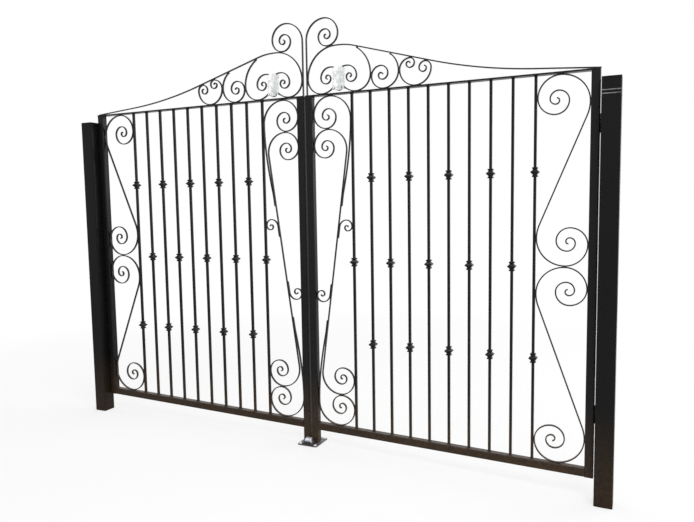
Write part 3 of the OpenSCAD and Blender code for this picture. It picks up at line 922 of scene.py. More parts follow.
@dataclass(frozen=True)
class TackWeld:
    """A small uneven run of weld on each face of a bar where it touches its neighbour."""

    length: float = 0.011
    height: float = 0.0045
    depth: float = 0.0032
    out: float = 0.0048
    lumps: float = 0.18
    lump_scale: float = 600.0
    spread: float = 40.0

    def lay(self, bm: BMesh, bar: FlatBar, station: tuple[Vector, float], where: Weld) -> None:
        """Lays the weld at a station of a bent bar.

        Args:
            bm: The mesh that it is added to.
            bar: The bar's section.
            station: The point and heading.
            where: The side of the bar that it is on.
        """
        point, heading = station
        centre = point + where.value * bar.thickness / 2 * heading_vector(heading + 90)
        seed = Vector((point.x, heading, point.y)) * self.spread
        for face in (-1, 1):
            bead = bmesh.ops.create_icosphere(bm, subdivisions=2, radius=0.5)["verts"]
            bmesh.ops.scale(bm, vec=(self.length, self.depth, self.height), verts=bead)
            for v in bead:
                v.co *= 1 + self.lumps * noise.noise(v.co * self.lump_scale + seed)
            bmesh.ops.rotate(bm, verts=bead, matrix=Matrix.Rotation(math.radians(heading), 3, Vector((0, -1, 0))))
            bmesh.ops.translate(bm, vec=(centre.x, face * self.out, centre.y), verts=bead)


@dataclass
class LeafWork:
    """Something that is part of a leaf, or turns with it."""

    leaf: Leaf
    palette: Palette
    slot: str = "frame_paint"

    def piece(self, name: str) -> Piece:
        """Starts a piece of this side."""
        return Piece(self.leaf.side.node(name))

    def finish(self, piece: Piece, node: str = "", slot: str = "", crease: float = 50.0) -> Object:
        """Finishes a piece that is drawn on the leaf's axes, in this work's slot or another, on the leaf."""
        nodes = [self.leaf.side.node(node)] if node else []
        return piece.finish(self.palette, slot or self.slot, self.leaf.side.body, nodes, self.leaf, crease)


@dataclass
class LeafFrame(LeafWork):
    """The stiles, the bottom rail and the top bar of a leaf."""

    wall: float = 0.003
    tube_round: float = 0.0055
    round_steps: int = 4
    flat_round: float = 0.001
    cap_h: float = 0.014
    cap_lip: float = 0.001
    mouth: float = 0.05
    mouth_taper: float = 0.0001

    def build(self) -> None:
        """Makes the four parts of the frame."""
        self.meeting_stile()
        self.hinge_stile()
        self.bottom_rail()
        self.top_bar()

    def _tube(self, bm: BMesh, u: float, low: float, high: float) -> list[BMVert]:
        """Adds an upright square tube whose middle line is at u."""
        start, end = self.leaf.upright(u, self.leaf.stile_w, low, high)
        return rounded(bm, start, end, self.tube_round, steps=self.round_steps)

    def meeting_stile(self) -> None:
        """Makes the stile at the meeting line and the proud cap under the top bar."""
        leaf = self.leaf
        piece = self.piece("meeting_stile_tube")
        u = leaf.inner + leaf.stile_w / 2
        self._tube(piece.bm, u, leaf.box("meeting_stile")[0].z, leaf.top_under - self.cap_h)
        cap = leaf.upright(u, leaf.stile_w + 2 * self.cap_lip, leaf.top_under - self.cap_h, leaf.top_under)
        rounded(piece.bm, *cap, self.tube_round, self.flat_round)
        self.finish(piece, "meeting_stile")

    def hinge_stile(self) -> None:
        """Makes the stile beside the post, cut to the fall of the rail and open at its foot."""
        leaf = self.leaf
        piece = self.piece("hinge_stile_tube")
        u = leaf.outer - leaf.stile_w / 2
        low = leaf.rail_under(u)
        feet = [v for v in self._tube(piece.bm, u, low, leaf.top_under) if v.co.z < low + self.wall]
        for v in feet:
            v.co.z = leaf.rail_under(v.co.x)
        sole = [f for f in piece.bm.faces if all(v in feet for v in f.verts)]
        bmesh.ops.recalc_face_normals(piece.bm, faces=piece.bm.faces)
        bmesh.ops.inset_region(piece.bm, faces=sole, thickness=self.wall, use_even_offset=True)
        bmesh.ops.inset_region(piece.bm, faces=sole, thickness=self.mouth_taper, depth=-self.mouth)
        self.finish(piece, "hinge_stile")

    def bottom_rail(self) -> None:
        """Makes the rail that follows the fall of the drive."""
        leaf = self.leaf
        piece = self.piece("bottom_rail_tube")
        verts = section(piece.bm, leaf.rail_h, leaf.rail_h, self.tube_round, self.round_steps)
        start = Matrix.Translation((leaf.panel_start, 0, leaf.rail_under(leaf.panel_start) + leaf.rail_h / 2))
        bmesh.ops.transform(piece.bm, matrix=start @ Matrix.Rotation(math.pi / 2, 4, "Y"), verts=verts)
        grown = bmesh.ops.extrude_face_region(piece.bm, geom=list(piece.bm.faces), use_keep_orig=True)["geom"]
        length = leaf.panel_end - leaf.panel_start
        bmesh.ops.translate(piece.bm, vec=(length, 0, leaf.slope * length), verts=verts_of(grown))
        self.finish(piece, "bottom_rail")

    def top_bar(self) -> None:
        """Makes the flat bar that closes the leaf's top."""
        leaf = self.leaf
        piece = self.piece("top_flat_bar")
        half = leaf.stile_w / 2
        rounded(piece.bm, Vector((leaf.inner, -half, leaf.top_under)), Vector((leaf.outer, half, leaf.top)),
                self.flat_round, self.flat_round)
        self.finish(piece, "top_bar")


@dataclass(frozen=True)
class Knuckle:
    """A square cast knuckle: a ring, a pointed flange and a ring, threaded on a bar."""

    bar_w: float
    height: float = 0.046
    ring_w: float = 0.026
    flange_w: float = 0.040
    corner: float = 0.0016
    bore_skin: float = 0.001
    near: float = 0.0001

    def profile(self) -> list[tuple[float, float]]:
        """Half widths and heights down one side, from the upper end to the lower.

        Returns:
            The pairs.
        """
        ring, flange, half = self.ring_w / 2, self.flange_w / 2, self.height / 2
        upper = [
            (self.bar_w / 2, half), (ring - 0.0018, half), (ring - 0.0005, half - 0.0006), (ring, half - 0.002),
            (ring, 0.76 * half), (ring - 0.0008, 0.70 * half), (ring - 0.003, 0.64 * half),
            (ring - 0.0034, 0.54 * half), (ring - 0.002, 0.44 * half), (ring + 0.0015, 0.30 * half),
            (flange - 0.002, 0.13 * half), (flange - 0.0004, 0.06 * half),
        ]
        return upper + [(flange, 0.0)] + [(w, -z) for w, z in reversed(upper)]

    def _is_arris(self, edge: BMEdge) -> bool:
        """Whether an edge is an arris of the casting.

        Args:
            edge: The edge.

        Returns:
            Whether it runs down a corner and isn't in the bore.
        """
        start, end = (v.co for v in edge.verts)
        return (abs(start.x) > self.bar_w / 2 + self.bore_skin and abs(abs(start.x) - abs(start.y)) < self.near
                and start.x * end.x > 0 and start.y * end.y > 0)

    def mesh(self, middle: Vector) -> BMesh:
        """Makes the knuckle.

        Args:
            middle: Its middle.

        Returns:
            Its mesh.
        """
        own = bmesh.new()
        (width, level), *lower_steps = self.profile()
        ring = bmesh.ops.create_circle(own, cap_ends=False, segments=4, radius=width * ROOT_2)["verts"]
        bmesh.ops.rotate(own, verts=ring, matrix=Matrix.Rotation(math.pi / 4, 3, "Z"))
        bmesh.ops.translate(own, vec=(0, 0, level), verts=ring)
        first = edges = list(own.edges)
        for wider, lower in lower_steps:
            ring, edges = draw_out(own, edges)
            bmesh.ops.scale(own, vec=(wider / width, wider / width, 1), verts=ring)
            bmesh.ops.translate(own, vec=(0, 0, lower - level), verts=ring)
            width, level = wider, lower
        bmesh.ops.bridge_loops(own, edges=first + edges)
        soften(own, [e for e in own.edges if self._is_arris(e)], self.corner)
        bmesh.ops.translate(own, vec=middle, verts=own.verts)
        return own


@dataclass
class BarRow(LeafWork):
    """The ten square bars of a leaf, the weld round their ends and the knuckles on them."""

    corner: float = 0.0009
    bead: float = 0.0028
    bead_cuts: int = 5
    bead_skin: float = 0.0008
    bead_lumps: float = 0.1
    bead_waves: float = 0.4
    lump_scale: float = 300.0
    spread: float = 70.0
    low_row: float = 0.512
    mid_row: float = 0.954
    top_row: float = 1.403

    def build(self) -> None:
        """Makes the bars, the welds and the knuckles."""
        self.bars()
        self.welds()
        self.knuckles()

    def bars(self) -> None:
        """Makes the bars, cut to the fall of the rail."""
        leaf = self.leaf
        piece = self.piece("square_bars")
        for u in leaf.bar_lines():
            low = leaf.rail_over(u)
            for v in rounded(piece.bm, *leaf.upright(u, leaf.bar_w, low, leaf.top_under), self.corner, steps=2):
                if v.co.z < low + self.bead:
                    v.co.z = leaf.rail_over(v.co.x)
        self.finish(piece, "bars")

    def welds(self) -> None:
        """Makes a small uneven fillet round the foot and the head of each bar."""
        leaf = self.leaf
        piece = self.piece("bar_welds")
        for u in leaf.bar_lines():
            self._fillet(piece.bm, u, leaf.rail_over(u), 1, leaf.slope)
            self._fillet(piece.bm, u, leaf.top_under, -1, 0.0)
        self.finish(piece, crease=80.0)

    def _fillet(self, bm: BMesh, u: float, level: float, up: int, slope: float) -> None:
        """Adds one fillet of weld round a bar.

        Args:
            bm: The mesh that it is added to.
            u: The bar's middle.
            level: Height of what the bar ends at.
            up: 1 if the fillet goes up from there, -1 if it goes down.
            slope: Rise of that level along u.
        """
        own = bmesh.new()
        half = self.leaf.bar_w / 2
        made = bmesh.ops.create_cone(own, cap_ends=False, segments=4, radius1=(half + self.bead) * ROOT_2,
                                     radius2=half * ROOT_2, depth=self.bead)["verts"]
        bmesh.ops.rotate(own, verts=made, matrix=Matrix.Rotation(math.pi / 4, 3, "Z"))
        bmesh.ops.subdivide_edges(own, edges=[e for e in own.edges if e.calc_length() > half], cuts=self.bead_cuts)
        for v in own.verts:
            wobble = noise.noise(Vector((v.co.x * self.lump_scale, v.co.y * self.lump_scale, u * self.spread + up)))
            wider = 1 + self.bead_lumps * wobble * (v.co.z < 0)
            v.co.x *= wider
            v.co.y *= wider
            v.co.z = up * (v.co.z + self.bead / 2 * (1 + self.bead_waves * wobble)) + level + slope * v.co.x
            v.co.x += u
        bmesh.ops.solidify(own, geom=own.faces[:], thickness=-self.bead_skin)
        add(bm, own)

    def knuckles(self) -> None:
        """Makes the cast knuckles: one row in the middle of every second bar, two on the others."""
        piece = self.piece("cast_knuckles")
        knuckle = Knuckle(self.leaf.bar_w)
        for i, u in enumerate(self.leaf.bar_lines()):
            for z in (self.low_row, self.top_row) if i % 2 else (self.mid_row,):
                add(piece.bm, knuckle.mesh(Vector((u, 0, self.leaf.datum + z))))
        self.finish(piece, "knuckles", "casting_paint")


@dataclass
class ScrollWork(LeafWork):
    """Scrolls of a leaf: flat bars bent, set against their neighbours and tacked to them."""

    slot: str = "scroll_paint"
    bar: FlatBar = FlatBar()
    tack: TackWeld = TackWeld()
    seat: float = 0.0002
    quarters: int = 9

    @property
    def lie(self) -> float:
        """How far a bar's middle line lies from what it is set against."""
        return self.seat + self.bar.thickness / 2

    @property
    def touch(self) -> float:
        """How far apart the middle lines of two bars lie that are set against each other."""
        return self.seat + self.bar.thickness

    def make(self, name: str, node: str, draw: Callable[[], None]) -> None:
        """Makes a piece of scrolls.

        Args:
            name: The piece's name, without its side.
            node: The node that it stands for, without its side.
            draw: What draws its bars, in the mesh that is the work's own until it is finished.
        """
        piece = self.piece(name)
        self.bm = piece.bm
        draw()
        self.finish(piece, node)

    def bend(self, start: Vector, heading: float, ahead: Sequence[Step],
             behind: Sequence[Step] = ()) -> tuple[Bender, Bender | None]:
        """Draws a bar from a start, both ways if steps behind it are given, and gives the bender of each way."""
        return bent_bar(self.bm, self.bar, start, heading, ahead, behind)

    def tacks(self, run: Bender, where: Weld, *stations: int) -> None:
        """Lays a tack weld beside a bent bar at each of those stations."""
        for i in stations:
            self.tack.lay(self.bm, self.bar, run.stations[i], where)

    def whole_s(self, half: HalfS, *stations: int) -> None:
        """Draws an S bar with its tack welds.

        Args:
            half: The lines of its first half.
            stations: The stations of each half that get a weld.
        """
        run = Bender(self.bm, self.bar, half.centre, half.heading).bend(half.steps(self.quarters)).close()
        bmesh.ops.delete(self.bm, geom=[run.cap], context="FACES_ONLY")
        self.tacks(run, Weld.ON_RIGHT, *stations)
        add_turned(self.bm, half.centre)


@dataclass
class MeetingPanel(ScrollWork):
    """The scrolls beside the meeting stile: a long S bar, two branch scrolls and two small curls."""

    curl_quarters: int = 6
    inner_scroll_w: float = 0.199
    branch_start: float = 0.320
    branch_lap: float = 0.060
    branch_leaving: float = -4.0
    high_curl_start: float = 0.206
    low_curl_start: float = 0.176

    def __post_init__(self) -> None:
        """Works out the panel's lines from the leaf."""
        leaf, bar = self.leaf, self.bar
        left = leaf.panel_start + self.lie
        self.right = leaf.first_bar - leaf.bar_w / 2 - self.lie
        self.outer_r = bar.first_radius(self.right - left + bar.thickness)
        self.high = leaf.top_under - self.lie
        low = leaf.rail_over(left + self.outer_r)
        inner_top = self.high - self.outer_r * bar.tighten * (1 + bar.tighten) - self.touch
        self.centre = Vector(((left + self.right) / 2, (leaf.top_under + low) / 2))
        self.half = HalfS(bar, self.centre, left + self.inner_scroll_w - bar.thickness, inner_top,
                          bar.first_radius(self.inner_scroll_w))

    def _beside(self, along: float) -> Vector:
        """Point on the middle line of a bar that lies against the long bar, at a distance from its middle."""
        heading = self.half.heading
        return self.centre + along * heading_vector(heading) + self.touch * heading_vector(heading - 90)

    def build(self) -> None:
        """Makes the long bar, the branches and the curls, each twice, turned half round the panel's middle."""
        self.make("long_scroll_bar", "long_scroll", lambda: self.whole_s(self.half, 3, 4))
        self.make("branch_scrolls_bar", "branch_scrolls", self._branches)
        self.make("small_curl_bars", "small_curls", self._curls)

    def _branches(self) -> None:
        """Draws the branch scrolls, from their feet on the long bar."""
        heading = self.half.heading
        edge = Vector((self.right, self.high - self.outer_r))
        steps = [Straight(self.branch_lap), Ease(edge, 90.0, heading + self.branch_leaving)]
        steps += self.bar.volute(self.outer_r, 1, self.quarters)
        run, _ = self.bend(self._beside(self.branch_start), heading, steps)
        self.tacks(run, Weld.ON_LEFT, 0)
        self.tacks(run, Weld.ON_RIGHT, 2, 3, 4)
        add_turned(self.bm, self.centre)

    def _curls(self) -> None:
        """Draws the small curls: the lower one as a higher one that is turned over, then the higher."""
        self._curl(self.low_curl_start)
        turn_over(self.bm, self.centre, self.bm.verts)
        self._curl(self.high_curl_start)

    def _curl(self, start: float) -> None:
        """Draws a small curl that springs up from the long bar.

        Args:
            start: Where it leaves the long bar, from that bar's middle.
        """
        heading, tighten = self.half.heading, self.bar.tighten
        radius = (self.right - self._beside(start).x) / (math.sin(math.radians(heading)) + tighten)
        steps = [Straight(self.branch_lap), Turn(radius, -heading)]
        steps += self.bar.volute(radius * tighten, -1, self.curl_quarters - 1)
        run, _ = self.bend(self._beside(start - self.branch_lap), heading, steps)
        self.tacks(run, Weld.ON_LEFT, 0, 3)


@dataclass
class HingePanel(ScrollWork):
    """The two S scrolls beside the hinge stile, one over the other."""

    meet: float = 0.959

    def build(self) -> None:
        """Makes both scrolls."""
        leaf = self.leaf
        self.left = leaf.last_bar + leaf.bar_w / 2 + self.lie
        self.right = leaf.panel_end - self.lie
        radius = self.bar.first_radius(self.right - self.left + self.bar.thickness)
        low, meet = leaf.rail_over(self.right - radius), leaf.datum + self.meet
        self.make("upper_scroll_bar", "upper_scroll", lambda: self._scroll(meet, leaf.top_under, radius))
        self.make("lower_scroll_bar", "lower_scroll", lambda: self._scroll(low, meet, radius, flipped=True))

    def _scroll(self, low: float, high: float, radius: float, flipped: bool = False) -> None:
        """Draws one S scroll.

        Args:
            low: The level of its foot.
            high: The level of its head.
            radius: Radius of its scrolls' first quarter turn.
            flipped: Whether it is turned upside down.
        """
        centre = Vector(((self.left + self.right) / 2, (low + high) / 2))
        self.whole_s(HalfS(self.bar, centre, self.right, high - self.lie, radius), 2, 3, 4)
        if flipped:
            bmesh.ops.scale(self.bm, vec=(1, 1, -1), verts=self.bm.verts)
            bmesh.ops.translate(self.bm, vec=(0, 0, low + high), verts=self.bm.verts)


@dataclass
class Crown(ScrollWork):
    """The ring with its lyre, the swan neck and the scrolls on top of a leaf."""

    finial_inset: float = 0.0025
    finial_w: float = 0.194
    ring_w: float = 0.372
    ring_h: float = 0.252
    shoulder_r: float = 0.163
    lyre_top_r: float = 0.039
    lyre_flat: float = 0.008
    lyre_side_r: float = 0.054
    lyre_curl_r: float = 0.03132
    lyre_curl: Range = (1.0, 0.86, 0.56, 0.36, 0.27)
    fork_angle: float = 58.0
    neck_top_r: float = 0.330
    neck_slope: float = 16.0
    neck_hollow_r: float = 2.540
    neck_landing: float = 4.5
    round_scroll_w: float = 0.154
    longest_tail: int = 80
    tail_tries: int = 4
    twin_scroll_w: float = 0.172
    high_curl_r: float = 0.024
    high_curl: Range = (1.0, 1.0, 0.78, 0.48, 0.34)
    low_curl_r: float = 0.031
    low_curl: Range = (1.0, 0.65, 0.57, 0.35)

    def __post_init__(self) -> None:
        """Works out the crown's lines from the leaf."""
        leaf, thick = self.leaf, self.bar.thickness
        self.base = leaf.top + self.lie
        self.finial_u = leaf.inner + self.finial_inset + thick / 2
        self.ring_left = self.finial_u + self.touch
        self.ring_mid = self.ring_left + (self.ring_w - thick) / 2
        self.ring_right = self.ring_left + self.ring_w - thick
        self.ring_top = self.base + self.ring_h - thick
        self.flat = self.ring_mid - self.ring_left - self.shoulder_r
        self.shoulder = Vector((self.ring_mid - self.flat, self.ring_top - self.shoulder_r))

    def build(self) -> None:
        """Makes every bar of the crown."""
        for name, node, draw in (
            ("swan_neck_bar", "swan_neck", self.swan_neck),
            ("lyre_scroll_bar", "lyre_bar", self.lyre_bar),
            ("finial_scroll_bar", "finial_scroll", self.finial),
            ("round_scroll_bar", "round_scroll", self.round_scroll),
            ("twin_scroll_bar", "twin_scroll", self.twin_scroll),
        ):
            self.make(name, node, draw)

    def ring_steps(self, shoulder: float = 90.0) -> list[Step]:
        """Steps of half the ring, from its shoulder into the lyre's curl.

        Args:
            shoulder: How much of the shoulder's quarter turn there is.

        Returns:
            The steps.
        """
        low_r = self.ring_h - self.bar.thickness - self.shoulder_r
        stem_r = self.ring_mid - self.touch / 2 - self.ring_left - low_r
        return [Turn(self.shoulder_r, shoulder), Turn(low_r, 90.0), Turn(stem_r, 90.0), Turn(self.lyre_top_r, 90.0),
                Straight(self.lyre_flat), Turn(self.lyre_side_r, 90.0)] + curl(self.lyre_curl_r, self.lyre_curl)

    def neck_steps(self) -> list[Step]:
        """Steps of the swan neck from the top of the ring to the end of the top bar.

        Returns:
            The steps, whose straight lengths are worked out so that the neck lands there.
        """
        slope, land = math.radians(self.neck_slope), math.radians(self.neck_landing)
        run = (self.leaf.outer - self.ring_mid - self.neck_top_r * math.sin(slope)
               - self.neck_hollow_r * (math.sin(slope) - math.sin(land)))
        drop = (self.ring_top - self.base - self.neck_top_r * (1 - math.cos(slope))
                - self.neck_hollow_r * (math.cos(land) - math.cos(slope)))
        turn = math.sin(slope - land)
        first = (drop * math.cos(land) - run * math.sin(land)) / turn
        last = (run * math.sin(slope) - drop * math.cos(slope)) / turn
        return [Turn(self.neck_top_r, -self.neck_slope), Straight(first),
                Turn(self.neck_hollow_r, self.neck_slope - self.neck_landing), Straight(last)]

    def swan_neck(self) -> None:
        """Draws the bar that forms the ring's inner half and sweeps down to the end of the leaf."""
        ahead, _ = self.bend(Vector((self.ring_mid, self.ring_top)), 180.0, [Straight(self.flat)] + self.ring_steps(),
                             self.neck_steps())
        self.tacks(ahead, Weld.ON_RIGHT, 2, 3, 4)

    def lyre_bar(self) -> None:
        """Draws the bar that forms the ring's outer half, as the inner half turned over."""
        start = self.shoulder + self.shoulder_r * heading_vector(180 - self.fork_angle)
        run, _ = self.bend(start, 270 - self.fork_angle, self.ring_steps(self.fork_angle))
        self.tacks(run, Weld.ON_RIGHT, 1, 2, 0)
        bmesh.ops.scale(self.bm, vec=(-1, 1, 1), verts=self.bm.verts)
        bmesh.ops.translate(self.bm, vec=(2 * self.ring_mid, 0, 0), verts=self.bm.verts)

    def finial(self) -> None:
        """Draws the upright and scroll at the meeting line, whose lower turn rests on the ring."""
        radius = self.bar.first_radius(self.finial_w)
        turn_r = radius * self.bar.tighten ** 2
        turn_u = self.finial_u + self.finial_w - self.bar.thickness - turn_r
        reach = self.shoulder_r + turn_r + self.touch
        turn_z = self.shoulder.y + math.sqrt(reach ** 2 - (turn_u - self.shoulder.x) ** 2)
        upright = Straight(turn_z + radius * self.bar.tighten - radius - self.leaf.top)
        steps = [upright] + self.bar.volute(radius, -1, self.quarters)
        run, _ = self.bend(Vector((self.finial_u, self.leaf.top)), 90.0, steps)
        self.tacks(run, Weld.ON_RIGHT, 0)

    def _below_neck(self, point: Vector) -> float:
        """How far a point is below the neck's straight stretch.

        Args:
            point: The point, as (u, z).

        Returns:
            The distance, across the neck.
        """
        slope = math.radians(self.neck_slope)
        knee = Vector((self.ring_mid + self.neck_top_r * math.sin(slope),
                       self.ring_top - self.neck_top_r * (1 - math.cos(slope))))
        return (knee.y - point.y) * math.cos(slope) - (point.x - knee.x) * math.sin(slope)

    def round_scroll(self) -> None:
        """Draws the round scroll beside the ring, whose tail runs up to the neck."""
        radius = self.bar.first_radius(self.round_scroll_w)
        lead = self.bar.lead(radius)
        start = Vector((self.ring_right + self.touch + self.round_scroll_w - self.bar.thickness, self.base + radius))
        centre = start - Vector((lead, 0))

        def clears(angle: float) -> bool:
            """Whether a tail of that angle stays under the neck."""
            corner = centre + (lead + self.bar.thickness / 2) * heading_vector(angle)
            return self._below_neck(corner) > self.lie

        tries = (i / self.tail_tries for i in range(self.longest_tail * self.tail_tries))
        tail = max(angle for angle in tries if clears(angle))
        run, back = self.bend(start, -90.0, self.bar.volute(radius, -1, self.quarters - 1), [Turn(lead, tail)])
        self.tacks(run, Weld.ON_LEFT, 1, 2, 0)
        self.tacks(back, Weld.ON_LEFT, 1)

    def twin_scroll(self) -> None:
        """Draws the scroll with a curl at each end, under the neck."""
        radius = (self.twin_scroll_w - self.bar.thickness) / 2
        left = self.ring_right + 2 * self.touch + self.round_scroll_w - self.bar.thickness
        slope = math.radians(self.neck_slope)
        level = self.base + radius
        room = self._below_neck(Vector((left, level))) + self.high_curl_r * (math.cos(slope) - 1) - self.touch
        high_top_r = room / (math.cos(slope) + math.sin(slope))
        low_top_r = (self._below_neck(Vector((left + 2 * radius, level))) - self.touch) / (1 - math.sin(slope))
        ahead, behind = self.bend(
            Vector((left + radius, self.base)), 0.0,
            [Turn(radius, 90.0), Turn(low_top_r, 90.0)] + curl(self.low_curl_r, self.low_curl),
            [Turn(radius, -90.0), Turn(high_top_r, -90.0)] + curl(self.high_curl_r, self.high_curl, -90.0))
        self.tacks(ahead, Weld.ON_RIGHT, 0, 2)
        self.tacks(behind, Weld.ON_LEFT, 2)


@dataclass
class CrownWrap(LeafWork):
    """The cloth bundled round the middle of the lyre: a flat bag that is let swell, crease and pull in."""

    slot: str = "wrap_cloth"
    thread: float = 0.0022
    fullness: float = 0.95
    side_thick: float = 0.3
    end_thin: float = 0.5
    corner_thin: float = 0.6
    waist: float = 0.04
    ear: float = 0.009
    lobe: float = 0.010
    lobe_foot: float = 0.6
    lobe_head: float = 0.8
    notch: float = 0.007
    notch_w: float = 0.1
    gather: float = 0.0016
    gathers: float = 11.0
    gather_shift: float = 99.0
    crumple: float = 0.0016
    crumple_scale: float = 45.0
    wrinkle: float = 0.0026
    wrinkle_scale: float = 26.0
    seed: Triple = (3.7, 1.3, 5.1)
    shade_rise: float = 7.0
    shade_from: float = 0.15
    enlarge: float = 8.0
    pressure: float = 2.0
    stiffness: float = 0.5
    slack: float = 0.08
    frames: int = 18
    cap: float = 0.004
    # Name of the vertex layer that holds painted shade for the creases and the right side.
    painted_shade: str = "painted_shade"
    proud: Triple = (0.005, 0.002, 0.004)

    def build(self) -> None:
        """Makes the bundle in the room of its node."""
        low, high = self.leaf.box("crown_wrap")
        piece = self.piece("wrap_bundle")
        self._bag(piece.bm, high - low)
        self._swell(piece.bm)
        self._fill(piece.bm, low, high)
        made = self.finish(piece, "crown_wrap", crease=180.0)
        finer = made.modifiers.new("finer", "SUBSURF")
        finer.levels = finer.render_levels = 1

    def _bag(self, bm: BMesh, size: Vector) -> None:
        """Makes the flat bag, a little crumpled, from a sheet that is given thickness.

        Args:
            bm: The empty mesh that it is made in.
            size: Width, depth and height of the room that it is to fill.
        """
        sheet = bmesh.ops.create_grid(bm, x_segments=round(size.x / self.thread),
                                      y_segments=round(size.z / self.thread), size=0.5)["verts"]
        bmesh.ops.scale(bm, vec=(size.x, size.z, 1), verts=sheet)
        bmesh.ops.rotate(bm, verts=sheet, matrix=Matrix.Rotation(math.pi / 2, 3, "X"))
        bmesh.ops.solidify(bm, geom=bm.faces[:], thickness=size.y * self.fullness)
        bmesh.ops.recalc_face_normals(bm, faces=bm.faces)
        depth = sum(v.co.y for v in bm.verts) / len(bm.verts)
        side = self.leaf.side.value
        seed = Vector(self.seed) * (2 + side)
        painted_shade = bm.verts.layers.float.new(self.painted_shade)
        for v in bm.verts:
            across, up, face = 2 * v.co.x / size.x, 2 * v.co.z / size.z, v.co.y - depth
            corner = abs(across * up) ** 5
            thin = ((self.side_thick + (1 - self.side_thick) * math.sqrt(1 - across ** 4))
                    * (1 - self.end_thin * up ** 6) * (1 - self.corner_thin * corner))
            crease = (1 - abs(noise.noise(v.co * self.wrinkle_scale + seed))) ** 9
            pleat = self.gather * math.sin(self.gathers * across + seed.x * face * self.gather_shift) * abs(up) ** 3
            v.co.y = face * thin + math.copysign(pleat - self.wrinkle * crease * thin, face)
            v.co.x *= 1 - self.waist * (1 - up * up)
            v.co.x += math.copysign(self.ear * corner, across)
            v.co.z += up ** 3 * self._end(across, self.lobe_head if up > 0 else self.lobe_foot)
            v.co += self.crumple * noise.noise_vector(v.co * self.crumple_scale + seed)
            # Painted shade: creases and the bundle's right side are marked to be greyed in the cloth's colour.
            v[painted_shade] = crease + 1 / (1 + math.exp(-self.shade_rise * (across * side - self.shade_from)))

    def _end(self, across: float, width: float) -> float:
        """How far an end reaches: a lobe of that width in its middle, and a notch on each side of it."""
        return (self.lobe * max(0.0, 1 - (across / width) ** 2)
                - self.notch * math.exp(-((abs(across) - width) / self.notch_w) ** 2))

    def _swell(self, bm: BMesh) -> None:
        """Lets the bag swell as cloth, enlarged, because cloth is steadier at that size.

        Args:
            bm: The bag, which is changed.
        """
        scene = bpy.context.scene
        starts = [v.co.copy() for v in bm.verts]
        bmesh.ops.scale(bm, vec=(self.enlarge,) * 3, verts=bm.verts)
        mesh = bpy.data.meshes.new("slack_bag")
        bm.to_mesh(mesh)
        bag = bpy.data.objects.new("slack_bag", mesh)
        scene.collection.objects.link(bag)
        cloth = bag.modifiers.new("cloth", "CLOTH")
        cloth.settings.use_pressure = True
        cloth.settings.uniform_pressure_force = self.pressure
        cloth.settings.shrink_min = -self.slack
        cloth.settings.bending_stiffness = self.stiffness
        cloth.settings.effector_weights.gravity = 0.0
        cloth.point_cache.frame_start = 1
        cloth.point_cache.frame_end = self.frames
        for number in range(1, self.frames + 1):
            scene.frame_set(number)
        swollen = bag.evaluated_get(bpy.context.evaluated_depsgraph_get()).to_mesh()
        bm.clear()
        bm.from_mesh(swollen)
        bpy.data.objects.remove(bag)
        bpy.data.meshes.remove(mesh)
        scene.frame_set(1)
        bmesh.ops.scale(bm, vec=(1 / self.enlarge,) * 3, verts=bm.verts)
        for v, start in zip(bm.verts, starts):
            move = v.co - start
            v.co = start + move * min(1.0, self.cap / max(move.length, 1e-9))

    def _fill(self, bm: BMesh, low: Vector, high: Vector) -> None:
        """Fits the bundle to the room of its node.

        Args:
            bm: The bundle, which is changed.
            low: The room's lowest corner.
            high: Its highest corner.
        """
        least = Vector([min(v.co[i] for v in bm.verts) for i in range(3)])
        most = Vector([max(v.co[i] for v in bm.verts) for i in range(3)])
        proud = Vector(self.proud)
        share = [(high[i] - low[i] + 2 * proud[i]) / (most[i] - least[i]) for i in range(3)]
        bmesh.ops.translate(bm, vec=-least, verts=bm.verts)
        bmesh.ops.scale(bm, vec=share, verts=bm.verts)
        bmesh.ops.translate(bm, vec=low - proud, verts=bm.verts)


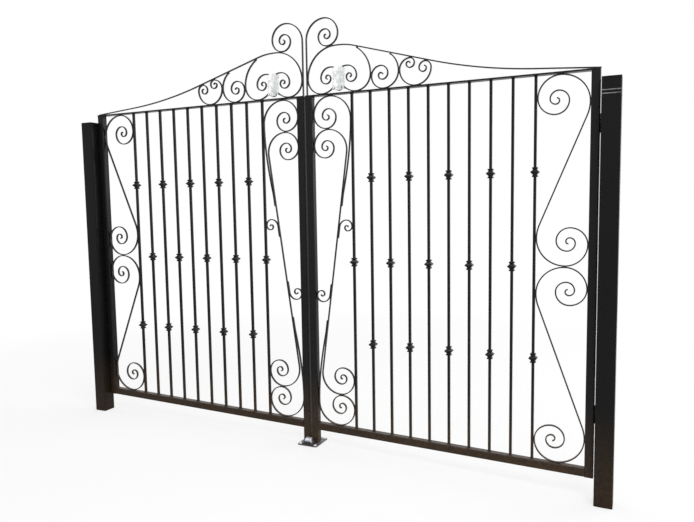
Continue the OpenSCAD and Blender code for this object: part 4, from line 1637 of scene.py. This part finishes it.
@dataclass
class HingeSet(LeafWork):
    """The barrel hinges of one leaf: lower halves, pins and packings on the post, upper halves on the leaf."""

    slot: str = "hinge_paint"
    barrel_r: float = 0.010
    barrel_h: float = 0.086
    barrel_gap: float = 0.001
    pin_r: float = 0.006
    bore_r: float = 0.00605
    wing_t: float = 0.004
    packing_w: float = 0.026
    rim: float = 0.0012
    edge: float = 0.0007
    weld_out: float = 0.8
    leaf_wing_out: float = 0.4
    barrel_facets: int = 48
    pin_facets: int = 32
    weld: WeldRun = WeldRun()

    def __post_init__(self) -> None:
        """Works out the hinge line from the room of the hinges' nodes."""
        self.low, self.high = self.leaf.box("post_hinges")
        leaf_low, leaf_high = self.leaf.box("leaf_hinges")
        self.start = leaf_low.x
        self.axis = Vector((self.low.x + self.barrel_r, self.high.y - self.barrel_r, 0))
        self.face = self.axis.y - self.barrel_r
        self.feet = (self.low.z, leaf_high.z - self.barrel_h)
        self.half = (self.barrel_h - self.barrel_gap) / 2

    def build(self) -> None:
        """Makes both halves of the two hinges."""
        self.post_halves()
        self.leaf_halves()

    def _plate(self, bm: BMesh, low: tuple[float, float], high: tuple[float, float], foot: float) -> None:
        """Adds a plate or packing between two corners, given as (u, y), up from its foot."""
        rounded(bm, Vector((*low, foot)), Vector((*high, foot + self.half)), self.edge, self.edge)

    def _weld(self, bm: BMesh, u: float, y: float, foot: float) -> None:
        """Lays a weld up a plate whose lower edge is at foot."""
        self.weld.lay(bm, Vector((u, y, foot + self.rim)), self.half - 2 * self.rim)

    def post_halves(self) -> None:
        """Makes the halves that the post carries."""
        piece = self.piece("post_hinge_halves")
        bm, u, face, end = piece.bm, self.axis.x, self.face, self.high.x
        for foot in self.feet:
            base = self.axis + Vector((0, 0, foot))
            round_bar(bm, self.barrel_r, base, self.half, edge=self.rim, facets=self.barrel_facets)
            round_bar(bm, self.pin_r, base, self.barrel_h - self.barrel_gap, edge=self.edge, facets=self.pin_facets)
            self._plate(bm, (u, face), (end, face + self.wing_t), foot)
            self._plate(bm, (end - self.packing_w, self.low.y), (end - self.edge, face + self.wing_t / 2), foot)
            self._weld(bm, end - self.edge, face, foot)
            self._weld(bm, u + self.barrel_r * self.weld_out, face + self.wing_t, foot)
        piece.finish(self.palette, self.slot, GROUND, [self.leaf.side.node("post_hinges")], self.leaf)

    def leaf_halves(self) -> None:
        """Makes the halves that the leaf carries, each with its bore."""
        piece = self.piece("leaf_hinge_halves")
        bm, u, face = piece.bm, self.axis.x, self.face
        for foot in self.feet:
            level = foot + self.half + self.barrel_gap
            pipe(bm, self.bore_r, self.barrel_r, self.axis + Vector((0, 0, level)), self.half, self.rim,
                 facets=self.barrel_facets)
            self._plate(bm, (self.start, face), (u - self.barrel_r * self.leaf_wing_out, face + self.wing_t), level)
            self._weld(bm, self.start + self.edge, face + self.edge, level)
            self._weld(bm, u - self.barrel_r * self.weld_out, face + self.wing_t, level)
        self.finish(piece, "leaf_hinges")


@dataclass
class GroundWork:
    """Something that stays on the ground."""

    palette: Palette
    round_steps: int = 5

    def finish(self, piece: Piece, slot: str, *nodes: str) -> None:
        """Finishes a piece and puts it on the fixed body."""
        piece.finish(self.palette, slot, GROUND, nodes)

    def block(self, name: str, slot: str, room: tuple[Vector, Vector], upright: float, edge: float,
              *nodes: str) -> None:
        """Makes a block with rounded edges.

        Args:
            name: The piece's name.
            slot: The slot that it takes its finish from.
            room: Its lowest and highest corners.
            upright: Radius of its upright edges.
            edge: Radius of its other edges.
            nodes: The node that it stands for, if it stands for one.
        """
        piece = Piece(name)
        rounded(piece.bm, *room, upright, edge, self.round_steps)
        self.finish(piece, slot, *nodes)


@dataclass
class PostSet(GroundWork):
    """The two square posts, the plates on them and the strap on the right one."""

    corner: float = 0.006
    edge: float = 0.0012
    strap_edge: float = 0.001
    rib: float = 0.22
    web: float = 0.0012

    def build(self) -> None:
        """Makes the posts, their caps and the strap."""
        for side in Side:
            post, cap = side.node("post"), side.node("post_cap")
            self.block(f"{post}_tube", "post_paint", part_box(post), self.corner, 0.0, post)
            self.block(f"{cap}_plate", "post_paint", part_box(cap), self.corner, self.edge, cap)
        self._strap()

    def _strap(self) -> None:
        """Makes the strap: a ribbed band, bright on its two ribs and painted between them."""
        low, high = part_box("post_strap")
        rise = Vector((0, 0, (high.z - low.z) * (1 - self.rib)))
        ribs = Piece("post_strap_ribs")
        rounded(ribs.bm, low, high - rise, self.strap_edge, self.strap_edge)
        rounded(ribs.bm, low + rise, high, self.strap_edge, self.strap_edge)
        self.finish(ribs, "strap_steel", "post_strap")
        web = Piece("post_strap_web")
        start = (high.z - low.z) * self.rib / 2
        rounded(web.bm, low + Vector((self.web, self.web, start)), high - Vector((self.web, 0, start)),
                self.strap_edge / 2)
        self.finish(web, "post_paint")


@dataclass
class CentreStop(GroundWork):
    """The bolted plate and the block on the drive that the leaves shut against."""

    plate_corner: float = 0.012
    edge: float = 0.0012
    bolt_inset: float = 0.016
    bolt_r: float = 0.0075
    bolt_h: float = 0.006
    bolt_round: float = 0.0028
    bolt_sink: float = 0.0002
    bolt_facets: int = 32
    washer_w: float = 1.35
    washer_h: float = 0.25
    washer_round: float = 0.0004
    flange_share: float = 0.16
    flange_corner: float = 0.009
    shoulder_w: float = 0.049
    block_w: float = 0.037
    block_lip: float = 0.005
    block_shift: float = -0.005
    nose: float = 0.82
    nose_steps: int = 8
    block_edge: float = 0.003
    edge_steps: int = 3
    sharp: float = 35.0

    def build(self) -> None:
        """Makes the plate, its bolts and the block."""
        low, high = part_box("stop_plate")
        self.block("stop_base_plate", "stop_steel", (low, high), self.plate_corner, self.edge, "stop_plate")
        bolts = Piece("stop_bolts")
        for x in (low.x + self.bolt_inset, high.x - self.bolt_inset):
            for y in (low.y + self.bolt_inset, high.y - self.bolt_inset):
                foot = Vector((x, y, high.z - self.bolt_sink))
                round_bar(bolts.bm, self.bolt_r * self.washer_w, foot, self.bolt_h * self.washer_h,
                          self.washer_round, self.bolt_facets)
                round_bar(bolts.bm, self.bolt_r, foot, self.bolt_h, self.bolt_round, self.bolt_facets)
        self.finish(bolts, "bright_steel")
        self.cast_block()

    def cast_block(self) -> None:
        """Makes the cast block: a low flange, and on it a bump whose nose is rounded towards the street."""
        low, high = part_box("stop_block")
        size, middle = high - low, (low + high) / 2
        thick = size.z * self.flange_share
        self.block("stop_cast_flange", "dark_steel", (low, Vector((high.x, high.y, low.z + thick))),
                   self.flange_corner, self.edge)
        piece = Piece("stop_cast_block")
        bm = piece.bm
        bump = bmesh.ops.create_cube(bm, size=1.0)["verts"]
        bmesh.ops.scale(bm, vec=(self.shoulder_w, size.y - self.block_lip, size.z - thick / 2), verts=bump)
        bmesh.ops.translate(bm, vec=(middle.x, middle.y + self.block_lip / 2, middle.z + thick / 4), verts=bump)
        top = [v for v in bump if v.co.z > middle.z]
        bmesh.ops.scale(bm, vec=(self.block_w / self.shoulder_w, 1, 1), verts=top,
                        space=Matrix.Translation((-middle.x, 0, 0)))
        bmesh.ops.translate(bm, vec=(self.block_shift, 0, 0), verts=top)
        nose = [e for e in bm.edges if all(v in top and v.co.y < middle.y for v in e.verts)]
        soften(bm, nose, size.z * self.nose, self.nose_steps)
        sharp = [e for e in bm.edges if e.calc_face_angle(0) > math.radians(self.sharp)
                 and min(v.co.z for v in e.verts) > low.z + thick]
        soften(bm, sharp, self.block_edge, self.edge_steps)
        self.finish(piece, "block_steel", "stop_block")


@dataclass(frozen=True)
class Lamp:
    """A square lamp that points at the middle of the gate."""

    name: str
    place: Triple
    size: float
    power: float

    def hang(self, middle: Vector) -> None:
        """Adds the lamp to the scene.

        Args:
            middle: What it points at.
        """
        data = bpy.data.lights.new(self.name, "AREA")
        data.size = self.size
        data.energy = self.power
        lamp = bpy.data.objects.new(self.name, data)
        lamp.location = self.place
        lamp.rotation_euler = (middle - lamp.location).to_track_quat("-Z", "Y").to_euler()
        bpy.context.scene.collection.objects.link(lamp)


@dataclass
class Studio:
    """The pale floor, the white background, the lamps and the camera.

    One lamp is broad and over the street side, a weaker one is above the leaves, and one behind them, to the right.
    """

    camera_place: Triple = (0.141, -3.108, 1.422)
    yaw: float = 24.86
    pitch: float = -5.21
    roll: float = -0.90
    lens: float = 33.28
    sensor_w: float = 36.0
    floor_half: float = 9.0
    floor_strips: int = 120
    floor_gap: float = 0.0005
    floor_run: float = 0.5
    floor_tone: float = 0.78
    floor_rough: float = 0.9
    floor_glow: float = 0.72
    fade_from: float = 1.9
    fade_to: float = 4.6
    sky: float = 0.70
    lamps: tuple[Lamp, ...] = (
        Lamp("key_lamp", (1.6, -2.6, 4.2), 2.6, 135.0),
        Lamp("top_lamp", (-2.4, 0.5, 4.6), 2.4, 60.0),
        Lamp("back_lamp", (2.6, 3.6, 2.6), 3.0, 90.0),
    )

    def build(self) -> None:
        """Sets everything up."""
        self.floor()
        self.world()
        middle = (Vector(cad_box[0]) + Vector(cad_box[1])) / 2
        for lamp in self.lamps:
            lamp.hang(middle)
        self.camera()
        bpy.context.scene.view_settings.view_transform = "Standard"

    def floor(self) -> None:
        """Makes the floor under the posts and the stop: it falls to the right and is crowned."""
        boxes = [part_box(node) for node in ("left_post", "stop_plate", "right_post")]
        left, middle, right = (Vector(((low.x + high.x) / 2, low.z)) for low, high in boxes)
        bm = bmesh.new()
        bmesh.ops.create_grid(bm, x_segments=self.floor_strips, y_segments=2, size=self.floor_half)
        for v in bm.verts:
            first, second = (left, middle) if v.co.x < middle.x else (middle, right)
            share = (v.co.x - first.x) / (second.x - first.x)
            share = max(-self.floor_run, min(1 + self.floor_run, share))
            v.co.z = first.y + share * (second.y - first.y) - self.floor_gap
        mesh = bpy.data.meshes.new("drive_floor")
        bm.to_mesh(mesh)
        bm.free()
        mesh.materials.append(self._floor_paint(Vector((middle.x, 0.0, middle.y))))
        floor = bpy.data.objects.new("drive_floor", mesh)
        bpy.context.scene.collection.objects.link(floor)

    def _floor_paint(self, middle: Vector) -> Material:
        """Makes the floor's finish, which glows to the camera more and more with the distance.

        Args:
            middle: Where that distance is measured from.

        Returns:
            The material.
        """
        shader = Shader("pale_floor")
        shader.set(base_color=(self.floor_tone,) * 3, roughness=self.floor_rough, specular_ior_level=0.0)
        reach = shader.add("VectorMath", {0: shader.place, 1: middle}, "Value", operation="DISTANCE")
        fade = shader.fit(reach, self.fade_from, self.fade_to, self.floor_glow, 1.0)
        share = shader.times(shader.add("LightPath", output="Is Camera Ray"), fade)
        mixed = shader.add("MixShader", {0: share, 1: shader.surface.outputs[0], 2: shader.add("Emission")})
        shader.tree.links.new(mixed, shader.tree.nodes["Material Output"].inputs["Surface"])
        return shader.material

    def world(self) -> None:
        """Makes the background white to the camera and in reflections, and a soft grey light elsewhere."""
        world = bpy.data.worlds.new("studio")
        bpy.context.scene.world = world
        world.use_nodes = True
        nodes = Nodes(world.node_tree)
        seen = nodes.add("LightPath", output="Is Camera Ray")
        for ray in ("Is Glossy Ray", "Is Transmission Ray"):
            seen = nodes.add("Math", {0: seen, 1: nodes.add("LightPath", output=ray)}, operation="MAXIMUM")
        background = nodes.tree.nodes["Background"]
        background.inputs["Color"].default_value = (1, 1, 1, 1)
        strength = nodes.add("MapRange", {"To Min": self.sky, "Value": seen}, "Result")
        nodes.tree.links.new(strength, background.inputs["Strength"])

    def camera(self) -> None:
        """Sets the camera at the photograph's place and angle."""
        yaw, pitch, roll = (math.radians(a) for a in (self.yaw, self.pitch, self.roll))
        ahead = Vector((-math.sin(yaw) * math.cos(pitch), math.cos(yaw) * math.cos(pitch), math.sin(pitch)))
        level = Vector((math.cos(yaw), math.sin(yaw), 0))
        raised = level.cross(ahead)
        right = level * math.cos(roll) + raised * math.sin(roll)
        up = raised * math.cos(roll) - level * math.sin(roll)
        turn = Matrix((right, up, -ahead)).transposed().to_4x4()
        data = bpy.data.cameras.new("street_view")
        data.sensor_width = self.sensor_w
        data.lens = self.lens
        camera = bpy.data.objects.new("street_view", data)
        camera.matrix_world = Matrix.Translation(self.camera_place) @ turn
        bpy.context.scene.collection.objects.link(camera)
        bpy.context.scene.camera = camera


def main() -> None:
    """Builds the dressed gate piece by piece and reports each."""
    logging.basicConfig(level=logging.INFO, format="%(message)s")
    palette = Palette()
    PostSet(palette).build()
    CentreStop(palette).build()
    for side in Side:
        leaf = Leaf.read(side)
        for work in (LeafFrame, BarRow, MeetingPanel, HingePanel, Crown, CrownWrap, HingeSet):
            work(leaf, palette).build()
    Studio().build()


if __name__ == "__main__":
    main()
